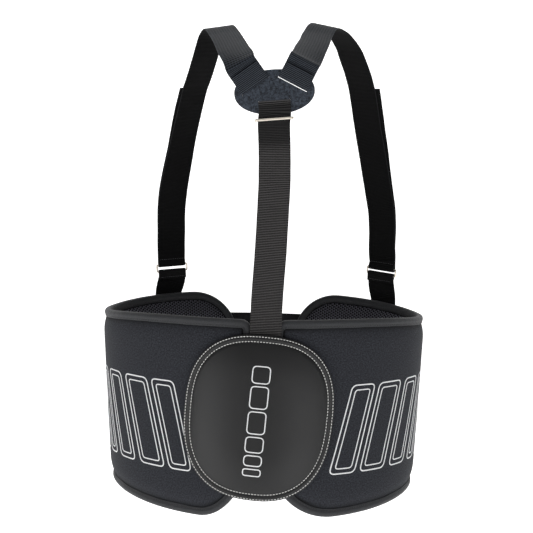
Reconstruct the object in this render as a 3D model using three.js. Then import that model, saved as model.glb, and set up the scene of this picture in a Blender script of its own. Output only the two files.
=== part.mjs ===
// Rib protector: a padded belt for the ribs with a Y-shaped shoulder harness, hanging in its worn form.
// Millimetres, +Z up. The wearer's back is towards -Y, and the wearer's right is towards +X.
// The origin is where the harness hangs: midway between the undersides of the two shoulder crests.

import * as THREE from 'three';

const { degToRad, lerp, smoothstep } = THREE.MathUtils;

// The band's outer face. Its plan is a superellipse, deeper at the back than at the front.
const BAND = {
  bottom: -599,
  height: 240.5,
  halfWidth: 211.5,
  backDepth: 153,
  frontDepth: 125,
  fullness: 1.9,
  shift: -2,
  waistShift: 0.4,
  waistWidth: 0.937,
  waistDepth: 1.15,
  sideDip: 11,
  sideRise: 10,
  frontRaise: 3,
  backDip: 5,
};

// Each wing runs from the spine round one side to the front. Radii are those of its four rounded corners.
const WINGS = {
  left: { side: -1, spineTop: 16, spineBottom: 27, frontGap: 40,
    backTop: 12, backBottom: 64, frontTop: 64, frontBottom: 60 },
  right: { side: 1, spineTop: 16, spineBottom: 6, frontGap: 46,
    backTop: 12, backBottom: 84, frontTop: 62, frontBottom: 54 },
};

// Faces of the padding, as offsets from the band's outer face: thin at the bound edge, full inside it.
const PADDING = { edgeOuter: -4, edgeInner: -9, fullOuter: 1, fullInner: -15, bound: 9, rise: 22 };
const LEAN_FADE = 120;
const LINING = { gap: 0.5, thickness: 2, inset: 10 };
const TAPE = { gap: 0.5, thickness: 1.5, leaf: 8, rounding: 1 };
const BACK_STATIONS = [0, 3, 6, 10, 18, 32, 52, 84];
const FRONT_STATIONS = [62, 38, 22, 10, 5, 2, 0];
const SIDE_STEPS = 18;
const ROW_SHARES = [0, 0.07, 0.3, 0.5, 0.7, 0.93, 1];
const END_SHARES = [0.33, 0.67];
const STATION_SLACK = 0.1;
const ARC_STEPS = 360;

// The pad over the spine: a superellipse that leans with the harness and follows the wall.
const SPINE = {
  x: -6, z: -477, halfWidth: 88.2, halfHeight: 98.5, lean: 4.3, fullness: 2.55, wedge: 0.022, spokes: 40,
  seat: 1.6,
};
const SPINE_RINGS = [
  { share: 0.03, crown: 8.2 },
  { share: 0.45, crown: 7.8 },
  { share: 0.8, crown: 7.0 },
  { share: 0.93, crown: 5.6 },
  { share: 1, crown: 3.2 },
];

const STRAP = { width: 38, thickness: 1.5, gap: 0.35 };
const WIRE = { diameter: 2.4, inside: 40, window: 6.8, corner: 1.6, sides: 8, cornerSteps: 3 };
const FOLD = { radius: WIRE.diameter / 2 + STRAP.gap + STRAP.thickness / 2, steps: 6, lead: 9 };

// The yoke plate joins the three straps. Its slots are placed in the plate's own plane.
const PLATE = {
  x: 4, y: -158, z: -90, turn: 5, halfWidth: 47.6, halfHeight: 26.4, fullness: 2.15, points: 44,
  thickness: 2.6, slotLength: 38.6, slots: { left: 3.2, right: 4.2, back: 3.2 },
  shoulderX: 23.3, shoulderZ: 10.4, shoulderSlant: 31, backX: -1, backZ: -12.6,
};

const SHOULDERS = {
  left: {
    cutEnd: 20.5,
    ring: { x: -130.8, y: 99, z: -322, heading: 18, slope: 4.5 },
    tab: { turn: -140.4 },
    rows: [
      { x: -39.6, y: -146, z: -50.6, heading: 2, slope: 24 },
      { x: -46.1, y: -118, z: -39, heading: 5, slope: 16 },
      { x: -52.5, y: -82, z: -26.3, heading: 8, slope: 12 },
      { x: -59.6, y: -45, z: -13.4, heading: 10, slope: 11 },
      { x: -69.5, y: -5, z: -1.3, heading: 12, slope: 10 },
      { x: -77.2, y: 19, z: -7.6, heading: 20, slope: 9 },
      { x: -83, y: 32, z: -22, heading: 28, slope: 6 },
      { x: -87.8, y: 42, z: -37.3, heading: 31, slope: 3 },
      { x: -94.5, y: 57, z: -57.4, heading: 31, slope: 0 },
      { x: -99.2, y: 66, z: -70, heading: 33, slope: 0 },
      { x: -101.6, y: 70.5, z: -76, heading: 33, slope: 0, slip: -3.4 },
      { x: -109.1, y: 84, z: -105.4, heading: 33, slope: 0, slip: -3.4 },
      { x: -115.5, y: 93, z: -132.5, heading: 31, slope: 0, slip: -2.1 },
      { x: -121, y: 99, z: -159.7, heading: 27, slope: 0, slip: -1 },
      { x: -130.8, y: 106, z: -215, heading: 10, slope: 0, slip: -1 },
      { x: -133.2, y: 107, z: -242.8, heading: 6, slope: 0, slip: -0.6 },
      { x: -132.8, y: 106, z: -270.5, heading: 6, slope: 1, slip: -0.4 },
      { x: -132.4, y: 102, z: -292, heading: 14, slope: 6, slip: 0 },
    ],
  },
  right: {
    cutEnd: 16.5,
    ring: { x: 158.5, y: 82.5, z: -319, heading: -30, slope: -5 },
    tab: { turn: 128.8 },
    rows: [
      { x: 41.1, y: -145, z: -48.6, heading: -2, slope: -24 },
      { x: 46.3, y: -114, z: -36.4, heading: -6, slope: -15 },
      { x: 52.4, y: -80, z: -23.8, heading: -12, slope: -10 },
      { x: 57.8, y: -43, z: -10.4, heading: -18, slope: -10 },
      { x: 68, y: -8, z: 3.5, heading: -24, slope: -12 },
      { x: 80, y: 9, z: 0.4, heading: -27, slope: -12 },
      { x: 91.5, y: 22, z: -9, heading: -29, slope: -10 },
      { x: 102.5, y: 36, z: -23, heading: -29, slope: -6 },
      { x: 107.1, y: 43, z: -32.5, heading: -27, slope: -3 },
      { x: 116.3, y: 57, z: -52.4, heading: -26, slope: 0 },
      { x: 120.2, y: 64, z: -63, heading: -26, slope: 0 },
      { x: 123.1, y: 69.3, z: -71.5, heading: -25, slope: 0, slip: 6.2 },
      { x: 129.2, y: 80, z: -99.3, heading: -24, slope: 0, slip: 5.7 },
      { x: 134.7, y: 87, z: -126.3, heading: -23, slope: 0, slip: 5.2 },
      { x: 140.6, y: 91, z: -153.5, heading: -22, slope: 0, slip: 4 },
      { x: 151.4, y: 93, z: -208.3, heading: -21, slope: 0, slip: 1.6 },
      { x: 156.5, y: 91, z: -235.5, heading: -22, slope: 0, slip: 0.8 },
      { x: 158.2, y: 88, z: -262.8, heading: -24, slope: -1, slip: 0.4 },
      { x: 158.2, y: 85, z: -290, heading: -27, slope: -5, slip: 0 },
    ],
  },
};
const LAYER_STEP = STRAP.thickness + 0.75;
const SAMPLES_PER_ROW = 2;

// A shoulder strap at its slot: distances from the slot's lip, on the back of the plate and in front of it.
const YOKE_END = { tuck: 0.2, backLaps: [14, 6], frontLaps: [8, 17], leave: 28 };

// The back strap: its outer layer, from behind the spine pad up to the yoke plate.
const BACK_ROWS = [
  { x: -0.6, y: -159.6, z: -432 },
  { x: 0, y: -157, z: -405 },
  { x: 0.3, y: -154.8, z: -380 },
  { x: 1, y: -154.9, z: -337 },
  { x: 4, y: -156.5, z: -277 },
  { x: 6, y: -157.6, z: -217 },
  { x: 6.6, y: -158, z: -195 },
  { x: 5.7, y: -158.8, z: -158 },
  { x: 4.2, y: -159.7, z: -125 },
];
const BACK_TAIL_ROWS = 3;
const BACK_LAP = { below: 10, tailBelow: 13 };
const KEEPER = { x: 4.3, y: -158.7, z: -122, slope: 5.5, window: 6.2, diameter: 3.2 };

// Tabs that carry the lower rings: over the ring's lower bar, then down the wing's outer face.
const TAB = { innerLength: 10, innerTuck: 0.9, lapTuck: 0.3, wall: [
  { below: -3, outward: 1 },
  { below: 8, outward: 1 },
  { below: 22, outward: 1.8 },
  { below: 40, outward: 2.6 },
  { below: 64, outward: 2.7 },
] };

// The closure strap spans the front gap and lies on both wings.
const CLOSURE = {
  leftReach: 105, rightReach: 122, top: -386, height: 105, corner: 16, inner: 1.7, outer: 4.2,
};
const CLOSURE_ENDS = [0, 2, 7, 16];
const CLOSURE_STEPS = 11;

function signedPower(value, exponent) {
  return Math.sign(value) * Math.abs(value) ** exponent;
}

function planShift(lift) {
  return lerp(BAND.waistShift, BAND.shift, lift);
}

// A point of the band's plan. Turn is measured from the centre back towards +X, and lift from bottom to top.
function planPoint(turn, lift) {
  const power = 2 / BAND.fullness;
  const depth = Math.cos(turn) > 0 ? BAND.backDepth : BAND.frontDepth;
  const x = BAND.halfWidth * lerp(BAND.waistWidth, 1, lift) * signedPower(Math.sin(turn), power);
  const y = -depth * lerp(BAND.waistDepth, 1, lift) * signedPower(Math.cos(turn), power);
  return new THREE.Vector2(x + planShift(lift), y);
}

function planNormal(turn, lift) {
  const step = 0.002;
  const along = planPoint(turn + step, lift).sub(planPoint(turn - step, lift)).normalize();
  return new THREE.Vector2(along.y, -along.x);
}

function wallPoint(turn, level, outward) {
  const lift = (level - BAND.bottom) / BAND.height;
  const place = planPoint(turn, lift).addScaledVector(planNormal(turn, lift), outward);
  return new THREE.Vector3(place.x, place.y, level);
}

function topEdge(turn) {
  const front = Math.max(0, -Math.cos(turn)) ** 2;
  const back = Math.max(0, Math.cos(turn)) ** 2;
  return BAND.bottom + BAND.height - BAND.sideDip * Math.sin(turn) ** 4 + BAND.frontRaise * front
    - BAND.backDip * back;
}

function bottomEdge(turn) {
  return BAND.bottom + BAND.sideRise * Math.sin(turn) ** 4;
}

// Girth from the centre back, so that distances along the wall can be turned into plan angles.
function measureGirth() {
  const girth = [0];
  let last = planPoint(0, 1);
  for (let i = 1; i <= ARC_STEPS; i += 1) {
    const next = planPoint((Math.PI * i) / ARC_STEPS, 1);
    girth.push(girth[i - 1] + next.distanceTo(last));
    last = next;
  }
  return girth;
}

const GIRTH = measureGirth();
const HALF_GIRTH = GIRTH[ARC_STEPS];

function turnAt(side, distance) {
  let i = 1;
  while (i < ARC_STEPS && GIRTH[i] < distance) i += 1;
  const share = (distance - GIRTH[i - 1]) / (GIRTH[i] - GIRTH[i - 1]);
  return (side * Math.PI * (i - 1 + share)) / ARC_STEPS;
}

// A body from shared points and triangles, turned so that its faces point out.
function closedBody(points, triangles) {
  let volume = 0;
  for (const [a, b, c] of triangles) {
    volume += points[a].dot(new THREE.Vector3().crossVectors(points[b], points[c]));
  }
  const facing = volume < 0 ? triangles.map(([a, b, c]) => [a, c, b]) : triangles;
  const geometry = new THREE.BufferGeometry().setFromPoints(points);
  geometry.setIndex(facing.flat());
  geometry.computeVertexNormals();
  return geometry;
}

// A body through sections that have equal numbers of points. A looped one has no ends.
function loft(sections, looped) {
  const count = sections[0].length;
  const spans = looped ? sections.length : sections.length - 1;
  const triangles = [];
  for (let i = 0; i < spans; i += 1) {
    const here = i * count;
    const next = ((i + 1) % sections.length) * count;
    for (let j = 0; j < count; j += 1) {
      const k = (j + 1) % count;
      triangles.push([here + j, here + k, next + k], [here + j, next + k, next + j]);
    }
  }
  if (!looped) {
    const last = (sections.length - 1) * count;
    for (let j = 1; j < count - 1; j += 1) {
      triangles.push([0, j + 1, j], [last, last + j, last + j + 1]);
    }
  }
  return closedBody(sections.flat(), triangles);
}

// A body between two sheets of points that have the same columns and rows.
function shell(outer, inner) {
  const columns = outer.length;
  const rows = outer[0].length;
  const layer = columns * rows;
  const triangles = [];
  for (let c = 0; c < columns - 1; c += 1) {
    for (let r = 0; r < rows - 1; r += 1) {
      const a = c * rows + r;
      const b = a + rows;
      triangles.push([a, b, b + 1], [a, b + 1, a + 1]);
      triangles.push([layer + a, layer + b + 1, layer + b], [layer + a, layer + a + 1, layer + b + 1]);
    }
  }
  const rim = [];
  for (let c = 0; c < columns; c += 1) rim.push(c * rows);
  for (let r = 1; r < rows; r += 1) rim.push((columns - 1) * rows + r);
  for (let c = columns - 2; c >= 0; c -= 1) rim.push(c * rows + rows - 1);
  for (let r = rows - 2; r > 0; r -= 1) rim.push(r);
  rim.forEach((p, i) => {
    const q = rim[(i + 1) % rim.length];
    triangles.push([q, p, layer + p], [q, layer + p, layer + q]);
  });
  return closedBody([...outer.flat(), ...inner.flat()], triangles);
}

// How far a rounded corner has pulled the edge in, at a distance from the end that it rounds.
function cornerDrop(along, radius) {
  if (along >= radius) return 0;
  return radius - Math.sqrt(radius ** 2 - (radius - along) ** 2);
}

// The same for the lining's edge, which keeps its inset from the wing's outline all the way round.
function insetDrop(along, radius) {
  const inset = LINING.inset;
  if (along < inset) return radius + (inset - along) / 2;
  if (along >= radius) return inset;
  return inset + cornerDrop(along - inset, radius - inset);
}

function wingLength(wing) {
  return HALF_GIRTH - wing.frontGap - wing.spineTop;
}

// A point of a wing's wall. Along is the distance from its spine end, which leans towards the bottom.
function wingPoint(wing, along, level, outward) {
  const lift = (level - BAND.bottom) / BAND.height;
  const lean = (wing.spineBottom - wing.spineTop) * (1 - lift) * (1 - smoothstep(along, 0, LEAN_FADE));
  return wallPoint(turnAt(wing.side, wing.spineTop + along + lean), level, outward);
}

function wingEdges(wing, along) {
  const ahead = wingLength(wing) - along;
  const turn = turnAt(wing.side, wing.spineTop + along);
  const bottomRadius = along < ahead ? wing.backBottom : wing.frontBottom;
  const topRadius = along < ahead ? wing.backTop : wing.frontTop;
  const near = Math.max(0, Math.min(along, ahead));
  return { bottom: bottomEdge(turn), top: topEdge(turn), near, bottomRadius, topRadius };
}

// The distance from a point of the wing to its rounded outline.
function insetAt(wing, along, level) {
  const { bottom, top, near, bottomRadius, topRadius } = wingEdges(wing, along);
  const low = level - bottom < top - level;
  const radius = low ? bottomRadius : topRadius;
  const across = low ? level - bottom : top - level;
  if (near < radius && across < radius) return radius - Math.hypot(radius - near, radius - across);
  return Math.min(near, across);
}

function paddedOffsets(wing, along, level) {
  const inset = insetAt(wing, along, level);
  const share = smoothstep(inset, PADDING.bound, PADDING.bound + PADDING.rise);
  return {
    outer: lerp(PADDING.edgeOuter, PADDING.fullOuter, share),
    inner: lerp(PADDING.edgeInner, PADDING.fullInner, share),
  };
}

function wingStations(wing) {
  const length = wingLength(wing);
  const backEnd = BACK_STATIONS[BACK_STATIONS.length - 1];
  const sideLength = length - backEnd - FRONT_STATIONS[0];
  const stations = [...BACK_STATIONS];
  for (let i = 1; i < SIDE_STEPS; i += 1) stations.push(backEnd + (sideLength * i) / SIDE_STEPS);
  for (const distance of FRONT_STATIONS) stations.push(length - distance);
  return stations;
}

function wingLevels(wing, along) {
  const { bottom, top, near, bottomRadius, topRadius } = wingEdges(wing, along);
  const low = bottom + insetDrop(near, bottomRadius);
  const high = top - insetDrop(near, topRadius);
  const rows = ROW_SHARES.map((share) => lerp(low, high, share));
  return [bottom + cornerDrop(near, bottomRadius), ...rows, top - cornerDrop(near, topRadius)];
}

function wingSheets(wing, outerShift, innerShift, columns, trim) {
  const sheet = (shift, face) => columns.map((along) => {
    const levels = wingLevels(wing, along);
    return levels.slice(trim, levels.length - trim).map((level) => (
      wingPoint(wing, along, level, paddedOffsets(wing, along, level)[face] + shift)));
  });
  return [sheet(outerShift, outerShift === 0 ? 'outer' : 'inner'), sheet(innerShift, 'inner')];
}

function wingPadding(wing) {
  return shell(...wingSheets(wing, 0, 0, wingStations(wing), 0));
}

function wingLining(wing) {
  const length = wingLength(wing);
  const inside = (along) => Math.min(along, length - along) > LINING.inset - STATION_SLACK;
  const columns = wingStations(wing).filter(inside);
  return shell(...wingSheets(wing, -LINING.gap, -LINING.gap - LINING.thickness, columns, 1));
}

// The wing's outline as points with the direction that leads inward from each.
function wingOutline(wing) {
  const outline = [];
  const length = wingLength(wing);
  const stations = wingStations(wing);
  const trace = (along, upper) => {
    const { bottom, top, near, bottomRadius, topRadius } = wingEdges(wing, along);
    const radius = upper ? topRadius : bottomRadius;
    const drop = cornerDrop(near, radius);
    const inwardAlong = near < radius ? ((radius - near) / radius) * (along < length / 2 ? 1 : -1) : 0;
    const inwardUp = (near < radius ? (radius - drop) / radius : 1) * (upper ? -1 : 1);
    outline.push({ along, level: upper ? top - drop : bottom + drop, inwardAlong, inwardUp });
  };
  const climb = (along, inwardAlong, shares) => {
    const levels = wingLevels(wing, along);
    for (const share of shares) {
      const level = lerp(levels[0], levels[levels.length - 1], share);
      outline.push({ along, level, inwardAlong, inwardUp: 0 });
    }
  };
  for (const along of stations) trace(along, false);
  climb(length, -1, END_SHARES);
  for (const along of [...stations].reverse()) trace(along, true);
  climb(0, 1, [...END_SHARES].reverse());
  return outline;
}

// Binding tape: a channel round the wing's edge. Its section is drawn as depth inward and height off the wall.
function wingBinding(wing) {
  const middle = (PADDING.edgeOuter + PADDING.edgeInner) / 2;
  const inside = (PADDING.edgeOuter - PADDING.edgeInner) / 2 + TAPE.gap;
  const outside = inside + TAPE.thickness;
  const section = [
    [TAPE.leaf, outside], [-TAPE.gap - TAPE.thickness, outside - TAPE.rounding],
    [-TAPE.gap - TAPE.thickness, TAPE.rounding - outside], [TAPE.leaf, -outside],
    [TAPE.leaf, -inside], [-TAPE.gap, -inside], [-TAPE.gap, inside], [TAPE.leaf, inside],
  ];
  const sections = wingOutline(wing).map((station) => section.map(([depth, height]) => wingPoint(
    wing, station.along + depth * station.inwardAlong, station.level + depth * station.inwardUp,
    middle + height)));
  return loft(sections, true);
}

// The wall's plan angle under a point of the back, found from its X.
function backTurn(x, level) {
  const lift = (level - BAND.bottom) / BAND.height;
  const width = BAND.halfWidth * lerp(BAND.waistWidth, 1, lift);
  return Math.asin(signedPower((x - planShift(lift)) / width, BAND.fullness / 2));
}

function spinePad() {
  const lean = degToRad(SPINE.lean);
  const ring = (share, outward) => Array.from({ length: SPINE.spokes }, (_, i) => {
    const angle = (2 * Math.PI * i) / SPINE.spokes;
    const up = signedPower(Math.sin(angle), 2 / SPINE.fullness);
    const side = signedPower(Math.cos(angle), 2 / SPINE.fullness) * (1 + SPINE.wedge * up);
    const x = SPINE.halfWidth * side * share;
    const z = SPINE.halfHeight * up * share;
    const level = SPINE.z + z * Math.cos(lean) - x * Math.sin(lean);
    return wallPoint(backTurn(SPINE.x + x * Math.cos(lean) + z * Math.sin(lean), level), level, outward);
  });
  const underside = SPINE_RINGS.map(({ share }) => ring(share, SPINE.seat));
  const face = SPINE_RINGS.map(({ share, crown }) => ring(share, SPINE.seat + crown)).reverse();
  return loft([...underside, ...face], false);
}

// A strap through stations, each with a place and the direction that its width leans to.
function ribbon(stations, width, thickness) {
  const step = (from, to) => to.place.clone().sub(from.place).normalize();
  const sections = stations.map((station, i) => {
    const behind = stations[Math.max(0, i - 1)];
    const ahead = stations[Math.min(stations.length - 1, i + 1)];
    const travel = new THREE.Vector3();
    if (behind !== station) travel.add(step(behind, station));
    if (ahead !== station) travel.add(step(station, ahead));
    travel.normalize();
    const across = station.lean.clone().addScaledVector(travel, -station.lean.dot(travel)).normalize();
    const face = new THREE.Vector3().crossVectors(travel, across);
    const corner = (sideways, off) => station.place.clone()
      .addScaledVector(across, (sideways * width) / 2)
      .addScaledVector(face, (off * thickness) / 2);
    return [corner(-1, -1), corner(1, -1), corner(1, 1), corner(-1, 1)];
  });
  return loft(sections, false);
}

function leanOf(heading, slope) {
  const turn = degToRad(heading);
  const rise = degToRad(slope);
  return new THREE.Vector3(Math.cos(turn) * Math.cos(rise), Math.sin(turn) * Math.cos(rise), Math.sin(rise));
}

function facingOf(heading) {
  const turn = degToRad(heading);
  return new THREE.Vector3(-Math.sin(turn), Math.cos(turn), 0);
}

// Half a turn round a bar or a slot's lip, from the side named by start, heading off along travel.
function foldOver(centre, start, travel, lean) {
  return Array.from({ length: FOLD.steps + 1 }, (_, i) => {
    const angle = (Math.PI * i) / FOLD.steps;
    const place = centre.clone()
      .addScaledVector(start, FOLD.radius * Math.cos(angle))
      .addScaledVector(travel, FOLD.radius * Math.sin(angle));
    return { place, lean };
  });
}

// A smooth run through table rows, with a few stations between each pair of them.
function smoothRun(rows) {
  const curve = new THREE.CatmullRomCurve3(rows.map((row) => row.place), false, 'centripetal');
  const steps = (rows.length - 1) * SAMPLES_PER_ROW;
  return Array.from({ length: steps + 1 }, (_, i) => {
    const low = Math.min(rows.length - 2, Math.floor(i / SAMPLES_PER_ROW));
    const share = i / SAMPLES_PER_ROW - low;
    const lean = rows[low].lean.clone().lerp(rows[low + 1].lean, share).normalize();
    return { place: curve.getPoint(i / steps), lean };
  });
}

// A place in the yoke plate's own plane, raised off the plate's middle towards the back.
function platePoint(x, z, proud) {
  const turn = degToRad(PLATE.turn);
  return new THREE.Vector3(
    PLATE.x + x * Math.cos(turn) - z * Math.sin(turn),
    PLATE.y - proud,
    PLATE.z + z * Math.cos(turn) + x * Math.sin(turn),
  );
}

const BACKWARD = new THREE.Vector3(0, -1, 0);

function ringFrame(ring) {
  const across = leanOf(ring.heading, ring.slope);
  const facing = facingOf(ring.heading);
  const up = new THREE.Vector3().crossVectors(across, facing).normalize();
  const centre = new THREE.Vector3(ring.x, ring.y, ring.z);
  const barRise = (WIRE.window + WIRE.diameter) / 2;
  return { across, facing, up, centre, barRise };
}

// The yoke end of a shoulder strap: its cut end lies behind the wearer, and it passes through the slot.
function yokeEnd(side, cutEnd) {
  const slant = degToRad(PLATE.shoulderSlant);
  const along = (distance, proud) => platePoint(
    side * (PLATE.shoulderX + distance * Math.sin(slant)),
    PLATE.shoulderZ + distance * Math.cos(slant), proud);
  const lip = along(0, 0);
  const climb = along(1, 0).sub(lip);
  const lean = new THREE.Vector3().crossVectors(climb, BACKWARD);
  const station = (distance, proud) => ({ place: along(distance, proud), lean });
  return [
    station(cutEnd, FOLD.radius - YOKE_END.tuck),
    ...YOKE_END.backLaps.map((distance) => station(distance, FOLD.radius)),
    ...foldOver(lip, BACKWARD, climb.clone().negate(), lean),
    ...YOKE_END.frontLaps.map((distance) => station(distance, -FOLD.radius)),
    station(YOKE_END.leave, 0),
  ];
}

// The layer that folds back up over the lower ring and lies on the outside of the chest run.
function foldedLayer(stations, slips) {
  const from = stations.length - 1 - (slips.length - 1) * SAMPLES_PER_ROW;
  const layer = stations.slice(from).map((station, i) => {
    const low = Math.min(slips.length - 2, Math.floor(i / SAMPLES_PER_ROW));
    const slip = lerp(slips[low], slips[low + 1], i / SAMPLES_PER_ROW - low);
    const off = new THREE.Vector3(-station.lean.y, station.lean.x, 0).normalize();
    const place = station.place.clone().addScaledVector(off, LAYER_STEP).addScaledVector(station.lean, slip);
    return { place, lean: station.lean };
  });
  return layer.reverse();
}

function shoulderStrap(side, strap) {
  const rows = strap.rows.map(({ x, y, z, heading, slope }) => (
    { place: new THREE.Vector3(x, y, z), lean: leanOf(heading, slope) }));
  const run = smoothRun(rows);
  const slips = strap.rows.filter((row) => row.slip !== undefined).map((row) => row.slip);
  const { across, facing, up, centre, barRise } = ringFrame(strap.ring);
  const bar = centre.clone().addScaledVector(up, barRise);
  const inward = facing.clone().negate();
  const above = (off) => ({
    place: bar.clone().addScaledVector(up, FOLD.lead).addScaledVector(facing, off), lean: across });
  return ribbon([
    ...yokeEnd(side, strap.cutEnd),
    ...run,
    above(-LAYER_STEP / 2),
    ...foldOver(bar, inward, up.clone().negate(), across),
    above(LAYER_STEP / 2),
    ...foldedLayer(run, slips),
  ], STRAP.width, STRAP.thickness);
}

function backStrap() {
  const lean = platePoint(1, 0, 0).sub(platePoint(0, 0, 0));
  const level = new THREE.Vector3(1, 0, 0);
  const rows = BACK_ROWS.map(({ x, y, z }) => ({ place: new THREE.Vector3(x, y, z), lean: level }));
  const lip = platePoint(PLATE.backX, PLATE.backZ, 0);
  const up = new THREE.Vector3().crossVectors(lean, BACKWARD).negate();
  const beside = (below, proud) => ({
    place: lip.clone().addScaledVector(up, -below).addScaledVector(BACKWARD, proud), lean });
  const tail = rows.slice(-BACK_TAIL_ROWS).reverse().map((row) => (
    { place: row.place.clone().addScaledVector(BACKWARD, -LAYER_STEP), lean: level }));
  return ribbon([
    ...smoothRun(rows), beside(BACK_LAP.below, FOLD.radius),
    ...foldOver(lip, BACKWARD, up, lean),
    beside(BACK_LAP.tailBelow, -FOLD.radius), ...smoothRun(tail),
  ], STRAP.width, STRAP.thickness);
}

function frontTab(strap) {
  const { across, facing, up, centre, barRise } = ringFrame(strap.ring);
  const bar = centre.clone().addScaledVector(up, -barRise);
  const inward = facing.clone().negate();
  const turn = degToRad(strap.tab.turn);
  const rim = topEdge(turn);
  const normal = planNormal(turn, 1);
  const wallLean = new THREE.Vector3(-normal.y, normal.x, 0).multiplyScalar(Math.sign(-normal.y));
  const wall = TAB.wall.map(({ below, outward }) => (
    { place: wallPoint(turn, rim - below, outward), lean: wallLean }));
  const inner = (below, off) => ({
    place: bar.clone().addScaledVector(up, -below).addScaledVector(inward, off), lean: across });
  return ribbon([
    inner(TAB.innerLength, FOLD.radius - TAB.innerTuck), inner(FOLD.lead, FOLD.radius - TAB.lapTuck),
    ...foldOver(bar, inward, up, across),
    inner(FOLD.lead, TAB.lapTuck - FOLD.radius),
    ...wall,
  ], STRAP.width, STRAP.thickness);
}

// A rectangular wire ring with round corners, in its own XY plane.
function wireRing(inside, window, diameter) {
  const radius = diameter / 2;
  const halfLength = inside / 2 + radius - WIRE.corner;
  const halfHeight = window / 2 + radius - WIRE.corner;
  const sections = [];
  for (let corner = 0; corner < 4; corner += 1) {
    const centre = new THREE.Vector2(
      corner === 0 || corner === 3 ? halfLength : -halfLength,
      corner < 2 ? halfHeight : -halfHeight,
    );
    for (let i = 0; i <= WIRE.cornerSteps; i += 1) {
      const angle = (Math.PI / 2) * (corner + i / WIRE.cornerSteps);
      const out = new THREE.Vector2(Math.cos(angle), Math.sin(angle));
      sections.push(Array.from({ length: WIRE.sides }, (_, j) => {
        const round = (2 * Math.PI * j) / WIRE.sides;
        const place = centre.clone().addScaledVector(out, WIRE.corner + radius * Math.cos(round));
        return new THREE.Vector3(place.x, place.y, radius * Math.sin(round));
      }));
    }
  }
  return loft(sections, true);
}

// The yoke plate: a leather oval with a slanted slot for each shoulder strap and a level one below them.
function yokePlate() {
  const outline = Array.from({ length: PLATE.points }, (_, i) => {
    const angle = (2 * Math.PI * i) / PLATE.points;
    return new THREE.Vector2(
      PLATE.halfWidth * signedPower(Math.cos(angle), 2 / PLATE.fullness),
      PLATE.halfHeight * signedPower(Math.sin(angle), 2 / PLATE.fullness),
    );
  });
  const shape = new THREE.Shape(outline);
  const cutSlot = (x, z, slant, opensTo) => {
    const length = PLATE.slotLength / 2;
    const turn = degToRad(slant);
    const corners = [[-length, 0], [length, 0], [length, opensTo], [-length, opensTo]];
    shape.holes.push(new THREE.Path(corners.map(([u, v]) => new THREE.Vector2(
      x + u * Math.cos(turn) - v * Math.sin(turn), z + u * Math.sin(turn) + v * Math.cos(turn)))));
  };
  cutSlot(-PLATE.shoulderX, PLATE.shoulderZ, PLATE.shoulderSlant, -PLATE.slots.left);
  cutSlot(PLATE.shoulderX, PLATE.shoulderZ, -PLATE.shoulderSlant, -PLATE.slots.right);
  cutSlot(PLATE.backX, PLATE.backZ, 0, PLATE.slots.back);
  const geometry = new THREE.ExtrudeGeometry(shape, { depth: PLATE.thickness, bevelEnabled: false });
  return geometry.translate(0, 0, -PLATE.thickness / 2);
}

function closureStrap() {
  const span = CLOSURE.leftReach + CLOSURE.rightReach;
  const stations = [...CLOSURE_ENDS];
  const straight = span - 2 * CLOSURE.corner;
  for (let i = 1; i < CLOSURE_STEPS; i += 1) stations.push(CLOSURE.corner + (straight * i) / CLOSURE_STEPS);
  for (const end of [...CLOSURE_ENDS].reverse()) stations.push(span - end);
  const sheet = (outward) => stations.map((station) => {
    const fromFront = station - CLOSURE.leftReach;
    const side = fromFront < 0 ? -1 : 1;
    const turn = turnAt(side, HALF_GIRTH - Math.abs(fromFront));
    const drop = cornerDrop(Math.min(station, span - station), CLOSURE.corner);
    const low = CLOSURE.top - CLOSURE.height + drop;
    const high = CLOSURE.top - drop;
    return [0, 0.5, 1].map((share) => wallPoint(turn, lerp(low, high, share), outward));
  });
  return shell(sheet(CLOSURE.outer), sheet(CLOSURE.inner));
}

const NEOPRENE = { color: 0x3e3d42, roughness: 0.85, metalness: 0 };
const TAPE_CLOTH = { color: 0x484a4d, roughness: 0.8, metalness: 0 };
const MESH_CLOTH = { color: 0x222225, roughness: 0.9, metalness: 0 };
const VINYL = { color: 0x303030, roughness: 0.45, metalness: 0 };
const WEBBING = { color: 0x2c2d30, roughness: 0.7, metalness: 0 };
const SUEDE = { color: 0x41464d, roughness: 0.9, metalness: 0 };
const NICKEL = { color: 0xc9c7c2, roughness: 0.2, metalness: 1 };
const ELASTIC = { color: 0x1b1b1d, roughness: 0.85, metalness: 0 };

const ribProtector = new THREE.Group();

function addPiece(name, geometry, finish, parent = ribProtector) {
  const mesh = new THREE.Mesh(geometry, new THREE.MeshStandardMaterial(finish));
  mesh.name = name;
  parent.add(mesh);
  return mesh;
}

function placeRing(name, across, second, centre, window, diameter) {
  const ring = addPiece(name, wireRing(WIRE.inside, window, diameter), NICKEL);
  const third = new THREE.Vector3().crossVectors(across, second);
  ring.quaternion.setFromRotationMatrix(new THREE.Matrix4().makeBasis(across, second, third));
  ring.position.copy(centre);
}

for (const [name, wing] of Object.entries(WINGS)) {
  addPiece(`rib_panel_${name}`, wingPadding(wing), NEOPRENE);
  addPiece(`mesh_lining_${name}`, wingLining(wing), MESH_CLOTH);
  addPiece(`binding_${name}`, wingBinding(wing), TAPE_CLOTH);
}

for (const [name, strap] of Object.entries(SHOULDERS)) {
  const { across, up, centre } = ringFrame(strap.ring);
  addPiece(`shoulder_strap_${name}`, shoulderStrap(WINGS[name].side, strap), WEBBING);
  placeRing(`ring_${name}`, across, up, centre, WIRE.window, WIRE.diameter);
  addPiece(`front_tab_${name}`, frontTab(strap), WEBBING);
}

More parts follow.
